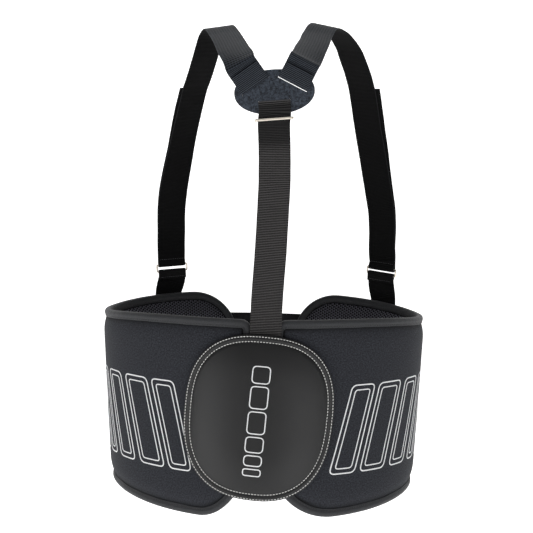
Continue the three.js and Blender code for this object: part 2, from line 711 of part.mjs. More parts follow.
addPiece('spine_panel', spinePad(), VINYL);
addPiece('back_strap', backStrap(), WEBBING);
placeRing('back_ring', leanOf(0, KEEPER.slope), new THREE.Vector3(0, 1, 0),
  new THREE.Vector3(KEEPER.x, KEEPER.y, KEEPER.z), KEEPER.window, KEEPER.diameter);
addPiece('closure_strap', closureStrap(), ELASTIC);

// The plate is drawn flat, so it stands up by a quarter turn and then tips by the harness's own turn.
const yoke = new THREE.Group();
yoke.position.set(PLATE.x, PLATE.y, PLATE.z);
yoke.rotation.y = -degToRad(PLATE.turn);
ribProtector.add(yoke);
addPiece('yoke_plate', yokePlate(), SUEDE, yoke).rotation.x = Math.PI / 2;

export default ribProtector;
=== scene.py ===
"""Rib protector: a padded belt for the ribs with a webbing shoulder harness, seen from the wearer's back.

Shapes are worked out in millimetres, +Z up, and turned into metres as each mesh is made.
"""
import math
from functools import partial

import bmesh
import bpy
from mathutils import Matrix, Vector, noise
from mathutils.bvhtree import BVHTree


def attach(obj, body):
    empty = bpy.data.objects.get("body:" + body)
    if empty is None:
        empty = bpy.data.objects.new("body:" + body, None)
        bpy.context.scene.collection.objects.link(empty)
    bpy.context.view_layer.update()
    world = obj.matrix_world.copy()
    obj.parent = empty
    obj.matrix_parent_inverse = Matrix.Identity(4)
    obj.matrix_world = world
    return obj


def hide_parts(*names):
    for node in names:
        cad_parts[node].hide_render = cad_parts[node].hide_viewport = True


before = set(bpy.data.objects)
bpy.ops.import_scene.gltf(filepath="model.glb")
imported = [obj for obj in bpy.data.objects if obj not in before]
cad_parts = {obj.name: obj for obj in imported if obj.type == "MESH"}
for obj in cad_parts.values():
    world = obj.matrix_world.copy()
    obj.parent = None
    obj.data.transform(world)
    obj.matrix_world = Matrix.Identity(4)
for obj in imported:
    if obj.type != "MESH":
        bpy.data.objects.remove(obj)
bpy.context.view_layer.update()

MM = 0.001
BACKWARD = Vector((0, -1, 0))
OUTSIDE, INSIDE = 60, -60

# The band's wall.

BAND = dict(
    bottom=-599, height=240.5, half_width=211.5, back_depth=153, front_depth=125, fullness=1.9, shift=-2,
    waist_shift=0.4, waist_width=0.937, waist_depth=1.15, side_dip=11, side_rise=10, front_raise=3, back_dip=5,
)
WINGS = dict(
    left=dict(side=-1, spine_top=16, spine_bottom=27, front_gap=40,
              back_top=12, back_bottom=64, front_top=64, front_bottom=60),
    right=dict(side=1, spine_top=16, spine_bottom=6, front_gap=46,
               back_top=12, back_bottom=84, front_top=62, front_bottom=54),
)
LEAN_FADE = 120
ARC_STEPS = 360


def mix(low, high, share):
    return low + (high - low) * share


def clamp(value, low=0.0, high=1.0):
    return max(low, min(high, value))


def smooth_step(value, low, high):
    share = clamp((value - low) / (high - low))
    return share * share * (3 - 2 * share)


def signed_power(value, power):
    return math.copysign(abs(value) ** power, value)


def plan_shift(lift):
    return mix(BAND["waist_shift"], BAND["shift"], lift)


def plan_point(turn, lift):
    """The band's plan. Turn is measured from the centre back towards +X, lift from bottom to top."""
    power = 2 / BAND["fullness"]
    depth = BAND["back_depth"] if math.cos(turn) > 0 else BAND["front_depth"]
    x = BAND["half_width"] * mix(BAND["waist_width"], 1, lift) * signed_power(math.sin(turn), power)
    y = -depth * mix(BAND["waist_depth"], 1, lift) * signed_power(math.cos(turn), power)
    return Vector((x + plan_shift(lift), y, 0))


def plan_normal(turn, lift):
    along = (plan_point(turn + 0.002, lift) - plan_point(turn - 0.002, lift)).normalized()
    return Vector((along.y, -along.x, 0))


def lift_at(level):
    return (level - BAND["bottom"]) / BAND["height"]


def wall_point(turn, level, outward):
    lift = lift_at(level)
    place = plan_point(turn, lift) + plan_normal(turn, lift) * outward
    return Vector((place.x, place.y, level))


def top_edge(turn):
    front, back = max(0, -math.cos(turn)) ** 2, max(0, math.cos(turn)) ** 2
    return (BAND["bottom"] + BAND["height"] - BAND["side_dip"] * math.sin(turn) ** 4
            + BAND["front_raise"] * front - BAND["back_dip"] * back)


def bottom_edge(turn):
    return BAND["bottom"] + BAND["side_rise"] * math.sin(turn) ** 4


GIRTH = [0.0]
for _step in range(1, ARC_STEPS + 1):
    _span = plan_point(math.pi * _step / ARC_STEPS, 1) - plan_point(math.pi * (_step - 1) / ARC_STEPS, 1)
    GIRTH.append(GIRTH[-1] + _span.length)


def turn_at(side, distance):
    """The plan angle at a distance along the top of the wall from the centre back."""
    low, high = 1, ARC_STEPS
    while low < high:
        middle = (low + high) // 2
        if GIRTH[middle] < distance:
            low = middle + 1
        else:
            high = middle
    share = (distance - GIRTH[low - 1]) / (GIRTH[low] - GIRTH[low - 1])
    return side * math.pi * (low - 1 + share) / ARC_STEPS


def wing_length(wing):
    return GIRTH[-1] - wing["front_gap"] - wing["spine_top"]


def wing_turn(wing, along, level):
    lean = ((wing["spine_bottom"] - wing["spine_top"]) * (1 - lift_at(level))
            * (1 - smooth_step(along, 0, LEAN_FADE)))
    return turn_at(wing["side"], wing["spine_top"] + along + lean)


def wing_point(wing, along, level, outward):
    return wall_point(wing_turn(wing, along, level), level, outward)


def corner_drop(along, radius):
    if along >= radius:
        return 0
    return radius - math.sqrt(radius ** 2 - (radius - along) ** 2)


def wing_edges(wing, along):
    ahead = wing_length(wing) - along
    turn = turn_at(wing["side"], wing["spine_top"] + along)
    end = "back" if along < ahead else "front"
    near = max(0, min(along, ahead))
    return bottom_edge(turn), top_edge(turn), near, wing[end + "_bottom"], wing[end + "_top"]


def inset_at(wing, along, level):
    """The distance from a point of the wing to its rounded outline."""
    bottom, top, near, bottom_radius, top_radius = wing_edges(wing, along)
    low = level - bottom < top - level
    radius = bottom_radius if low else top_radius
    across = level - bottom if low else top - level
    if near < radius and across < radius:
        return radius - math.hypot(radius - near, radius - across)
    return min(near, across)


CORNER_STEPS, EDGE_STEPS, EDGE_DEPTH = 16, 100, -6


def wing_outline(wing, step):
    """The wing's edge at even steps, each with its place, its level and the direction that leads inward."""
    length = wing_length(wing)
    rough = []

    def corner(at_front, upper, leaving):
        radius = wing[("front" if at_front else "back") + ("_top" if upper else "_bottom")]
        for i in range(CORNER_STEPS + 1):
            angle = math.pi / 2 * (1 - i / CORNER_STEPS if leaving else i / CORNER_STEPS)
            near = radius * (1 - math.sin(angle))
            along = length - near if at_front else near
            bottom, top, _, _, _ = wing_edges(wing, along)
            drop = radius * (1 - math.cos(angle))
            rough.append((along, top - drop if upper else bottom + drop,
                          math.sin(angle) * (-1 if at_front else 1), math.cos(angle) * (-1 if upper else 1)))

    def run(first, last, upper):
        for i in range(1, EDGE_STEPS):
            along = mix(first, last, i / EDGE_STEPS)
            bottom, top, _, _, _ = wing_edges(wing, along)
            rough.append((along, top if upper else bottom, 0, -1 if upper else 1))

    corner(False, False, True)
    run(wing["back_bottom"], length - wing["front_bottom"], False)
    corner(True, False, False)
    corner(True, True, True)
    run(length - wing["front_top"], wing["back_top"], True)
    corner(False, True, False)
    rough.append(rough[0])
    places = [wing_point(wing, along, level, EDGE_DEPTH) for along, level, _, _ in rough]
    return even_steps(rough, places, step)


def even_steps(rows, places, step):
    """Rows of numbers resampled at even steps round a closed run of places, whose last is its first again."""
    travelled = [0.0]
    for before, here in zip(places, places[1:]):
        travelled.append(travelled[-1] + (here - before).length)
    count = max(2, round(travelled[-1] / step))
    result = []
    low = 0
    for i in range(count):
        target = travelled[-1] * i / count
        while low < len(places) - 2 and travelled[low + 1] < target:
            low += 1
        span = travelled[low + 1] - travelled[low]
        share = clamp((target - travelled[low]) / span) if span > 0 else 0
        result.append(tuple(mix(a, b, share) for a, b in zip(rows[low], rows[low + 1])))
    return result


# Bodies made of points and faces.


class Body:
    """Points in millimetres, with faces and a surface coordinate in millimetres at each face's corners."""

    def __init__(self):
        self.points, self.faces, self.uvs = [], [], []

    def add(self, points, faces, uvs):
        first = len(self.points)
        self.points += points
        self.faces += [tuple(first + p for p in face) for face in faces]
        self.uvs += uvs

    def loft(self, sections, looped=False, distances=None):
        """A body through sections of equal numbers of points."""
        count = len(sections[0])
        spans = len(sections) if looped else len(sections) - 1
        if distances is None:
            distances = [0.0]
            for i in range(spans):
                distances.append(distances[-1] + (sections[(i + 1) % len(sections)][0] - sections[i][0]).length)
        girth = [0.0]
        middle = sections[len(sections) // 2]
        for j in range(count):
            girth.append(girth[-1] + (middle[(j + 1) % count] - middle[j]).length)
        faces, uvs = [], []
        for i in range(spans):
            here, ahead = i * count, ((i + 1) % len(sections)) * count
            for j in range(count):
                k = (j + 1) % count
                faces.append((here + j, here + k, ahead + k, ahead + j))
                uvs.append([(girth[j], distances[i]), (girth[j + 1], distances[i]),
                            (girth[j + 1], distances[i + 1]), (girth[j], distances[i + 1])])
        if not looped:
            last = (len(sections) - 1) * count
            faces += [tuple(reversed(range(count))), tuple(range(last, last + count))]
            uvs += [[(girth[j], 0) for j in reversed(range(count))],
                    [(girth[j], distances[-1]) for j in range(count)]]
        self.add([point for section in sections for point in section], faces, uvs)
        return self

    def shell(self, outer, inner, flat):
        """A body between two sheets of points with the same columns and rows. Flat holds their flat places."""
        columns, rows = len(outer), len(outer[0])
        layer = columns * rows
        spread = [place for column in flat for place in column]
        faces, uvs = [], []
        for c in range(columns - 1):
            for r in range(rows - 1):
                a = c * rows + r
                quad = (a, a + rows, a + rows + 1, a + 1)
                faces.append(quad)
                uvs.append([spread[p] for p in quad])
                faces.append(tuple(layer + p for p in reversed(quad)))
                uvs.append([spread[p] for p in reversed(quad)])
        rim = [c * rows for c in range(columns)]
        rim += [(columns - 1) * rows + r for r in range(1, rows)]
        rim += [c * rows + rows - 1 for c in range(columns - 2, -1, -1)]
        rim += list(range(rows - 2, 0, -1))
        for p, q in zip(rim, rim[1:] + rim[:1]):
            faces.append((q, p, layer + p, layer + q))
            uvs.append([spread[q], spread[p], spread[p], spread[q]])
        self.add([p for column in outer for p in column] + [p for column in inner for p in column], faces, uvs)
        return self

    def stitch(self, place, travel, out, length, radius):
        """One stitch of thread: it rises from one hole and dives into the next."""
        across = travel.cross(out).normalized()
        rings = []
        for share, size in ((-0.5, 0.45), (-0.28, 1), (0.28, 1), (0.5, 0.45)):
            middle = place + travel * (share * length) + out * (radius * (0.75 if abs(share) < 0.4 else -0.2))
            rings.append([middle + (across * math.cos(turn) + out * math.sin(turn)) * (size * radius)
                          for turn in (math.pi / 3 * k for k in range(6))])
        self.loft(rings)


def put_in_scene(name, data):
    thing = bpy.data.objects.new(name, data)
    bpy.context.scene.collection.objects.link(thing)
    return thing


def enrol(name, mesh, material, stands_for=()):
    """Puts a mesh into the scene as one smooth piece of the part."""
    mesh.materials.append(material)
    mesh.shade_smooth()
    piece = put_in_scene(name, mesh)
    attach(piece, "root")
    if stands_for:
        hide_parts(*stands_for)
    return piece


def make_piece(name, body, material, stands_for=()):
    mesh = bpy.data.meshes.new(name)
    mesh.from_pydata([point * MM for point in body.points], [], body.faces)
    layer = mesh.uv_layers.new(name="flat")
    layer.data.foreach_set("uv", [value * MM for face in body.uvs for place in face for value in place])
    shape = bmesh.new()
    shape.from_mesh(mesh)
    bmesh.ops.recalc_face_normals(shape, faces=shape.faces)
    shape.to_mesh(mesh)
    shape.free()
    return enrol(name, mesh, material, stands_for)


def sharpen(piece, degrees):
    """Keeps folds and cut edges crisp under smooth shading."""
    piece.data.set_sharp_from_angle(angle=math.radians(degrees))


CLOTH = dict(quality=5, mass=0.25, tension_stiffness=12, compression_stiffness=12, shear_stiffness=6,
             bending_stiffness=0.4, use_pressure=True)
SWELL_STEPS = 20


def swell(piece, sewn, most, pressure):
    """Lets a stuffed shell swell like sewn cloth, held where it is sewn. Most gives each point's limit."""
    mesh = piece.data
    homes = [vertex.co.copy() for vertex in mesh.vertices]
    seam = piece.vertex_groups.new(name="seam")
    seam.add(sewn, 1.0, "REPLACE")
    cloth = piece.modifiers.new("stuffing", "CLOTH")
    for key, value in CLOTH.items():
        setattr(cloth.settings, key, value)
    cloth.settings.vertex_group_mass = seam.name
    cloth.settings.uniform_pressure_force = pressure
    cloth.settings.effector_weights.gravity = 0
    cloth.collision_settings.use_collision = False
    cloth.point_cache.frame_start = 1
    cloth.point_cache.frame_end = SWELL_STEPS
    for step in range(1, SWELL_STEPS + 1):
        bpy.context.scene.frame_set(step)
    evaluated = piece.evaluated_get(bpy.context.evaluated_depsgraph_get())
    places = [vertex.co.copy() for vertex in evaluated.data.vertices]
    piece.modifiers.remove(cloth)
    piece.vertex_groups.remove(seam)
    for vertex, home, place, limit in zip(mesh.vertices, homes, places, most):
        shift = place - home
        reach = shift.length
        if reach > 0:
            allowed = limit * MM * math.tanh(reach / (limit * MM))
            vertex.co = home + shift * (allowed / reach)
    mesh.update()
    bpy.context.scene.frame_set(1)


def refine(piece):
    """Smooths the facets of curved cloth with one level of subdivision."""
    modifier = piece.modifiers.new("fine", "SUBSURF")
    modifier.levels = modifier.render_levels = 1
    modifier.uv_smooth = "PRESERVE_BOUNDARIES"


def surface_of(piece):
    return BVHTree.FromObject(piece, bpy.context.evaluated_depsgraph_get())


def on_skin(skin, turn, level, start, fallback, lift):
    """A place on a dressed surface, met from one side of the wall and lifted off it, and the wall's way out."""
    outward = plan_normal(turn, lift_at(level))
    heading = -outward if start > 0 else outward
    hit = skin.ray_cast(wall_point(turn, level, start) * MM, heading)[0]
    met = wall_point(turn, level, fallback) if hit is None else hit / MM
    return met - heading * lift, outward


# Materials.


def linear(code):
    """An sRGB hex value as linear colour."""
    parts = [int(code[i:i + 2], 16) / 255 for i in (1, 3, 5)]
    return (*[p / 12.92 if p <= 0.04045 else ((p + 0.055) / 1.055) ** 2.4 for p in parts], 1.0)


def add_node(material, kind, inputs=None, out=0, **settings):
    """Adds a node with its settings, sets or links its inputs, and gives back one of its outputs."""
    tree = material.node_tree
    node = tree.nodes.new("ShaderNode" + kind)
    for key, value in settings.items():
        setattr(node, key, value)
    for socket, value in (inputs or {}).items():
        if isinstance(value, bpy.types.NodeSocket):
            tree.links.new(value, node.inputs[socket])
        else:
            node.inputs[socket].default_value = linear(value) if isinstance(value, str) else value
    return node.outputs[out] if node.outputs else None


def new_material(name):
    material = bpy.data.materials.new(name)
    material.use_nodes = True
    material.node_tree.nodes.clear()
    return material


def finish_material(material, colour, roughness, height=None, relief=0.0, **constants):
    """Closes a material with the surface shader. Relief is the bump's depth in metres."""
    inputs = {"Base Color": colour, "Roughness": roughness}
    if height is not None:
        inputs["Normal"] = add_node(material, "Bump", {"Height": height, "Distance": relief, "Strength": 1.0})
    inputs.update({key.replace("_", " "): value for key, value in constants.items()})
    add_node(material, "OutputMaterial", {"Surface": add_node(material, "BsdfPrincipled", inputs)})
    return material


# A band wave repeats once every WAVE / scale metres.
WAVE = math.pi / 10


def brushed_polyester():
    """Polyester jersey brushed on one side and bonded to foam: matt, near black, with a short even nap."""
    cloth = new_material("brushed_polyester")
    flat = add_node(cloth, "UVMap", uv_map="flat")
    nap = add_node(cloth, "TexNoise", {"Vector": flat, "Scale": 560.0, "Detail": 4.0, "Roughness": 0.85})
    wear = add_node(cloth, "TexNoise", {"Vector": flat, "Scale": 28.0, "Detail": 5.0, "Roughness": 0.6})
    # Yarn rows 0.5 mm apart are too fine to show, so they are drawn 1.5 mm apart.
    rows = add_node(cloth, "TexWave", {"Vector": flat, "Scale": WAVE / 0.0015, "Distortion": 1.2,
                                       "Detail": 1.0, "Detail Scale": 2.0}, 1, bands_direction="Y")
    fleck = add_node(cloth, "MapRange", {0: nap, 1: 0.4, 2: 0.64})
    tone = add_node(cloth, "Mix", {0: fleck, 6: "#141519", 7: "#40434a"}, 2, data_type="RGBA")
    worn = add_node(cloth, "MapRange", {0: wear, 3: 0.0, 4: 0.55})
    aged = add_node(cloth, "Mix", {0: worn, 6: tone, 7: "#29292d"}, 2, data_type="RGBA")
    # Along a seam the foam is pulled in to a groove, and the cloth there is painted near black as painted shade
    # in that groove.
    painted_seam_shade = add_node(cloth, "Attribute", out="Fac", attribute_name="painted_seam_shade")
    seam_shaded = add_node(cloth, "Mix", {0: painted_seam_shade, 6: aged, 7: "#060607"}, 2, data_type="RGBA")
    height = add_node(cloth, "Math", {0: rows, 1: 0.35, 2: nap}, operation="MULTIPLY_ADD")
    rough = add_node(cloth, "MapRange", {0: nap, 3: 0.78, 4: 0.95})
    return finish_material(cloth, seam_shaded, rough, height, 0.00018,
                           Specular_IOR_Level=0.18, Sheen_Weight=0.04, Sheen_Roughness=0.5)


def spacer_mesh():
    """Warp-knit spacer mesh: two open polyester faces with six-sided holes, painted near black inside as
    painted shade.
    """
    knit = new_material("spacer_mesh")
    flat = add_node(knit, "UVMap", uv_map="flat")
    row_pitch = 0.0038 * math.sqrt(3) / 2
    total = 0.0
    for angle in (0, 60, 120):
        turned = add_node(knit, "VectorRotate", {"Vector": flat, "Angle": math.radians(angle)},
                          rotation_type="Z_AXIS")
        wave = add_node(knit, "TexWave", {"Vector": turned, "Scale": WAVE / row_pitch, "Distortion": 0.15,
                                          "Phase Offset": math.pi / 2}, 1)
        total = add_node(knit, "Math", {0: total, 1: wave}, operation="ADD")
    hole = add_node(knit, "MapRange", {0: total, 1: 1.3, 2: 1.75}, interpolation_type="SMOOTHSTEP")
    yarn = add_node(knit, "TexNoise", {"Vector": flat, "Scale": 1400.0, "Detail": 2.0})
    thread = add_node(knit, "Mix", {0: yarn, 6: "#46464c", 7: "#7e7e87"}, 2, data_type="RGBA")
    # Inside the holes: painted shade, near black.
    tone = add_node(knit, "Mix", {0: hole, 6: thread, 7: "#010101"}, 2, data_type="RGBA")
    raised = add_node(knit, "Math", {0: 1.0, 1: hole}, operation="SUBTRACT")
    return finish_material(knit, tone, 0.85, raised, 0.0009, Specular_IOR_Level=0.15)


def ribbed_textile(name, rib, dark, light, relief, roughness, direction="Y", fray=0.25):
    """A narrow woven textile: ribs of yarn across or along it, with uneven yarn tone."""
    cloth = new_material(name)
    flat = add_node(cloth, "UVMap", uv_map="flat")
    ribs = add_node(cloth, "TexWave", {"Vector": flat, "Scale": WAVE / rib, "Distortion": fray, "Detail": 2.0,
                                       "Detail Scale": 3.0}, 1, bands_direction=direction)
    yarns = add_node(cloth, "TexWave", {"Vector": flat, "Scale": WAVE / (rib * 0.8), "Distortion": 0.4}, 1,
                     bands_direction="X" if direction == "Y" else "Y")
    fibre = add_node(cloth, "TexNoise", {"Vector": flat, "Scale": 700.0, "Detail": 3.0, "Roughness": 0.6})
    woven = add_node(cloth, "Math", {0: yarns, 1: 0.35, 2: ribs}, operation="MULTIPLY_ADD")
    height = add_node(cloth, "Math", {0: woven, 1: fibre}, operation="ADD")
    share = add_node(cloth, "MapRange", {0: height, 1: 0.3, 2: 1.9})
    tone = add_node(cloth, "Mix", {0: share, 6: dark, 7: light}, 2, data_type="RGBA")
    return finish_material(cloth, tone, roughness, height, relief,
                           Specular_IOR_Level=0.3, Sheen_Weight=0.05, Sheen_Roughness=0.4)


# Stretches of webbing that look different. Each has two ramps: the axis, across (0) or along (1) the strap,
# and the places in metres where the ramp is none and where it is whole.
STRETCHES = dict(
    greyed=((1, 0.054, 0.062), (1, 0.27, 0.24)),
    # inner: painted shade on a shoulder strap's inner face from about its crest onward. With the chest run it
    # turns near black.
    inner=((1, 0.14, 0.17), (0, 0.0386, 0.0384)),
    # painted_shadow: painted shadow on the back strap, from its keeper up to the yoke plate.
    painted_shadow=((1, 0.268, 0.286), (1, 0.328, 0.324)),
    crest=((1, 0.3285, 0.33), (1, 0.3335, 0.332)),
)


def woven_webbing(name, dark, light, stretches=()):
    """Polyester webbing: ribs across it, crossed by its lengthwise yarns.

    The back strap is painted dark from its keeper to its fold over the yoke: painted shadow under the yoke
    plate.
    It is rubbed pale on the crest of that fold over the yoke's leather.

    A shoulder strap is greyed by daylight over the wearer's back. Its inner face from about the crest onward
    and its run down the chest are painted near black as painted shade, and only the selvedges show there as
    thin paler lines.
    """
    cloth = new_material(name)
    flat = add_node(cloth, "UVMap", uv_map="flat")
    place = add_node(cloth, "SeparateXYZ", {0: flat}).node.outputs
    shown = {}
    for key in stretches:
        ramps = [add_node(cloth, "MapRange", {0: place[axis], 1: none, 2: whole},
                          interpolation_type="SMOOTHSTEP") for axis, none, whole in STRETCHES[key]]
        shown[key] = add_node(cloth, "Math", {0: ramps[0], 1: ramps[1]}, operation="MULTIPLY")
    # Ribs 1.2 mm apart are too fine to show, so they are drawn 2 mm apart.
    weave = 0.0
    for spacing, way, fray, weight in ((0.002, "Y", 0.6, 0.86), (0.0019, "X", 0.8, 0.14)):
        wave = add_node(cloth, "TexWave", {"Vector": flat, "Scale": WAVE / spacing, "Distortion": fray,
                                           "Detail": 2.0, "Detail Scale": 3.0}, 1, bands_direction=way)
        weave = add_node(cloth, "Math", {0: wave, 1: weight, 2: weave}, operation="MULTIPLY_ADD")
    if "greyed" in shown:
        # Worn floats catch the light as short flecks in rows. The rows spread where the strap is seen end on.
        spread = add_node(cloth, "VectorMath", {0: flat, 1: (1.0, 0.5, 1.0)}, operation="MULTIPLY")
        patchy = add_node(cloth, "TexNoise", {"Vector": spread, "Scale": 300.0, "Detail": 3.0,
                                              "Roughness": 0.7})
        flecks = add_node(cloth, "Math", {0: patchy, 1: 0.26}, operation="MULTIPLY")
        for spacing, way, weight in ((0.0022, "Y", 0.5), (0.0034, "X", 0.28)):
            wave = add_node(cloth, "TexWave", {"Vector": spread, "Scale": WAVE / spacing, "Distortion": 0.9,
                                               "Detail": 2.0, "Detail Scale": 2.0}, 1, bands_direction=way)
            flecks = add_node(cloth, "Math", {0: wave, 1: weight, 2: flecks}, operation="MULTIPLY_ADD")
        weave = add_node(cloth, "Mix", {0: shown["greyed"], 2: weave, 3: flecks}, data_type="FLOAT")
    fibre = add_node(cloth, "TexNoise", {"Vector": flat, "Scale": 700.0, "Detail": 3.0, "Roughness": 0.6})
    height = add_node(cloth, "Math", {0: fibre, 1: 0.25, 2: weave}, operation="MULTIPLY_ADD")
    low, high = (0.44, 0.82) if "painted_shadow" in shown else (0.36, 0.86)
    share = add_node(cloth, "MapRange", {0: height, 1: low, 2: high}, interpolation_type="SMOOTHSTEP")
    tone = add_node(cloth, "Mix", {0: share, 6: dark, 7: light}, 2, data_type="RGBA")
    # The back strap's dark stretch is painted shadow. Its pale crest is wear.
    for key, most, colour in (("painted_shadow", 0.72, "#070708"), ("crest", 0.7, "#77777a")):
        if key in shown:
            cover = add_node(cloth, "Math", {0: shown[key], 1: most}, operation="MULTIPLY")
            tone = add_node(cloth, "Mix", {0: cover, 6: tone, 7: colour}, 2, data_type="RGBA")
    rough = 0.62
    if "inner" in shown:
        # Painted shade: the inner face and the run down the chest are painted near black. The paler selvedge
        # lines are wear.
        chest = add_node(cloth, "MapRange", {0: place[1], 1: 0.25, 2: 0.3}, interpolation_type="SMOOTHSTEP")
        black = add_node(cloth, "Math", {0: shown["inner"], 1: chest}, operation="MAXIMUM")
        shade_tone = add_node(cloth, "Mix", {0: share, 6: "#030303", 7: "#0c0c0d"}, 2, data_type="RGBA")
        # Folded at half the width of a face, the place across the strap is the distance to a selvedge.
        edge = add_node(cloth, "Math", {0: place[0], 1: 0.01925}, operation="PINGPONG")
        selvedge = add_node(cloth, "MapRange", {0: edge, 1: 0.0012, 2: 0.0006}, interpolation_type="SMOOTHSTEP")
        worn = add_node(cloth, "Mix", {0: selvedge, 6: shade_tone, 7: "#242426"}, 2, data_type="RGBA")
        tone = add_node(cloth, "Mix", {0: black, 6: tone, 7: worn}, 2, data_type="RGBA")
        rough = add_node(cloth, "MapRange", {0: black, 3: 0.62, 4: 0.95})
    return finish_material(cloth, tone, rough, height, 0.0004, Specular_IOR_Level=0.16)


def coated_vinyl():
    """PVC-coated cloth with a fine embossed grain: black, with a soft sheen from its calendered face."""
    vinyl = new_material("coated_vinyl")
    flat = add_node(vinyl, "UVMap", uv_map="flat")
    grain = add_node(vinyl, "TexVoronoi", {"Vector": flat, "Scale": 1100.0, "Randomness": 0.9})
    haze = add_node(vinyl, "TexNoise", {"Vector": flat, "Scale": 22.0, "Detail": 4.0})
    tone = add_node(vinyl, "Mix", {0: haze, 6: "#0f0f10", 7: "#171718"}, 2, data_type="RGBA")
    rough = add_node(vinyl, "MapRange", {0: haze, 3: 0.42, 4: 0.52})
    return finish_material(vinyl, tone, rough, grain, 0.00005, Specular_IOR_Level=0.4)


def split_suede():
    """Split leather with a raised nap, rubbed paler in patches."""
    leather = new_material("split_suede")
    spot = add_node(leather, "TexCoord", out="Object")
    patch = add_node(leather, "TexNoise", {"Vector": spot, "Scale": 380.0, "Detail": 6.0, "Roughness": 0.8})
    nap = add_node(leather, "TexNoise", {"Vector": spot, "Scale": 1300.0, "Detail": 3.0})
    share = add_node(leather, "MapRange", {0: patch, 1: 0.38, 2: 0.66})
    tone = add_node(leather, "Mix", {0: share, 6: "#0d0f13", 7: "#474e59"}, 2, data_type="RGBA")
    height = add_node(leather, "Math", {0: nap, 1: patch}, operation="ADD")
    return finish_material(leather, tone, 0.88, height, 0.00025,
                           Specular_IOR_Level=0.25, Sheen_Weight=0.08, Sheen_Roughness=0.5)


def nickel_plate():
    """Nickel-plated steel wire: bright and slightly warm, a little hazed by handling."""
    metal = new_material("nickel_plate")
    spot = add_node(metal, "TexCoord", out="Object")
    haze = add_node(metal, "TexNoise", {"Vector": spot, "Scale": 90.0, "Detail": 3.0})
    rough = add_node(metal, "MapRange", {0: haze, 3: 0.36, 4: 0.44})
    return finish_material(metal, "#e2dacd", rough, haze, 0.000004, Metallic=1.0)


def grained(name, scale, detail, dark, light, roughness, relief):
    """A plain surface whose tone and relief follow one fine grain."""
    surface = new_material(name)
    spot = add_node(surface, "TexCoord", out="Object")
    grain = add_node(surface, "TexNoise", {"Vector": spot, "Scale": scale, "Detail": detail})
    tone = add_node(surface, "Mix", {0: grain, 6: dark, 7: light}, 2, data_type="RGBA")
    return finish_material(surface, tone, roughness, grain, relief)


# Its seams carry painted shade in the sewn groove under the binding.
PANEL_CLOTH = brushed_polyester()
MESH_CLOTH = spacer_mesh()
EDGE_TAPE = ribbed_textile("twill_edge_tape", 0.0013, "#191a1b", "#3f4043", 0.00012, 0.6, fray=2.2)
# Dark from its keeper up to the yoke: painted shadow.
BACK_WEBBING = woven_webbing("polyester_webbing", "#010101", "#484646", ("painted_shadow", "crest"))
# Its inner face and chest run are painted near black: painted shade.
SHOULDER_WEBBING = woven_webbing("sun_greyed_webbing_painted_shade", "#010305", "#383d45", ("greyed", "inner"))
TAB_WEBBING = woven_webbing("black_webbing", "#020202", "#0e0e10")
ELASTIC_CLOTH = ribbed_textile("woven_elastic", 0.002, "#0c0c0e", "#202024", 0.0003, 0.8, direction="X")
PAD_VINYL = coated_vinyl()
PLATE_SUEDE = split_suede()
RING_METAL = nickel_plate()
# Bonded polyester thread: smooth twisted plies.
WHITE_THREAD = grained("white_bonded_thread", 2200.0, 1.0, "#c9c9c6", "#f4f4f1", 0.5, 0.0001)
BLACK_THREAD = grained("black_bonded_thread", 2200.0, 1.0, "#121214", "#2a2a2d", 0.5, 0.0001)
DULL_THREAD = grained("faded_bonded_thread", 2200.0, 1.0, "#2a2a2d", "#4a4a4e", 0.5, 0.0001)
# White plastisol ink printed on cloth: matt, with the cloth's grain showing through.
WHITE_INK = grained("screen_ink", 900.0, 3.0, "#d2d4d6", "#fdfdfd", 0.6, 0.00012)

# Padded wings.

STUFFING = dict(edge_outer=-4, edge_inner=-9, full_outer=0.2, full_inner=-14, bound=8, rise=20, ripple=0.35)
WING_GRID = (92, 36)
SPINE = dict(x=-6, z=-477, half_width=88.2, half_height=98.5, lean=4.3, fullness=2.55, wedge=0.022, seat=2.4)


def pad_share(side, up):
    """How far out from the spine pad's centre a flat place lies: 1 at the pad's outline."""
    power = SPINE["fullness"]
    return (abs(side / SPINE["half_width"]) ** power + abs(up / SPINE["half_height"]) ** power) ** (1 / power)


def spine_share(place):
    """The same for a point of the back."""
    lean = math.radians(SPINE["lean"])
    x, z = place.x - SPINE["x"], place.z - SPINE["z"]
    return pad_share(x * math.cos(lean) - z * math.sin(lean), x * math.sin(lean) + z * math.cos(lean))


def eased(share, ease):
    return share - ease * math.sin(2 * math.pi * share) / (2 * math.pi)


def stuffed_offset(wing, along, level, face):
    inset = inset_at(wing, along, level)
    share = 1 - (1 - clamp((inset - STUFFING["bound"]) / STUFFING["rise"])) ** 2.2
    if face == "outer":
        ripple = STUFFING["ripple"] * noise.noise(Vector((along / 16, level / 26, 3.1))) * share
        return mix(STUFFING["edge_outer"], STUFFING["full_outer"], share) + ripple
    return mix(STUFFING["edge_inner"], STUFFING["full_inner"], share)


def wing_grid(wing, columns, rows, margin=0.0):
    """Along and level for each point of a grid over the wing, kept inside its outline by a margin."""
    length = wing_length(wing)
    grid = []
    for c in range(columns + 1):
        along = mix(margin, length - margin, eased(c / columns, 0.82))
        bottom, top, near, bottom_radius, top_radius = wing_edges(wing, along)
        inside = max(0, near - margin)
        low = bottom + margin + corner_drop(inside, max(1, bottom_radius - margin))
        high = top - margin - corner_drop(inside, max(1, top_radius - margin))
        grid.append([(along, mix(low, high, eased(r / rows, 0.45))) for r in range(rows + 1)])
    return grid


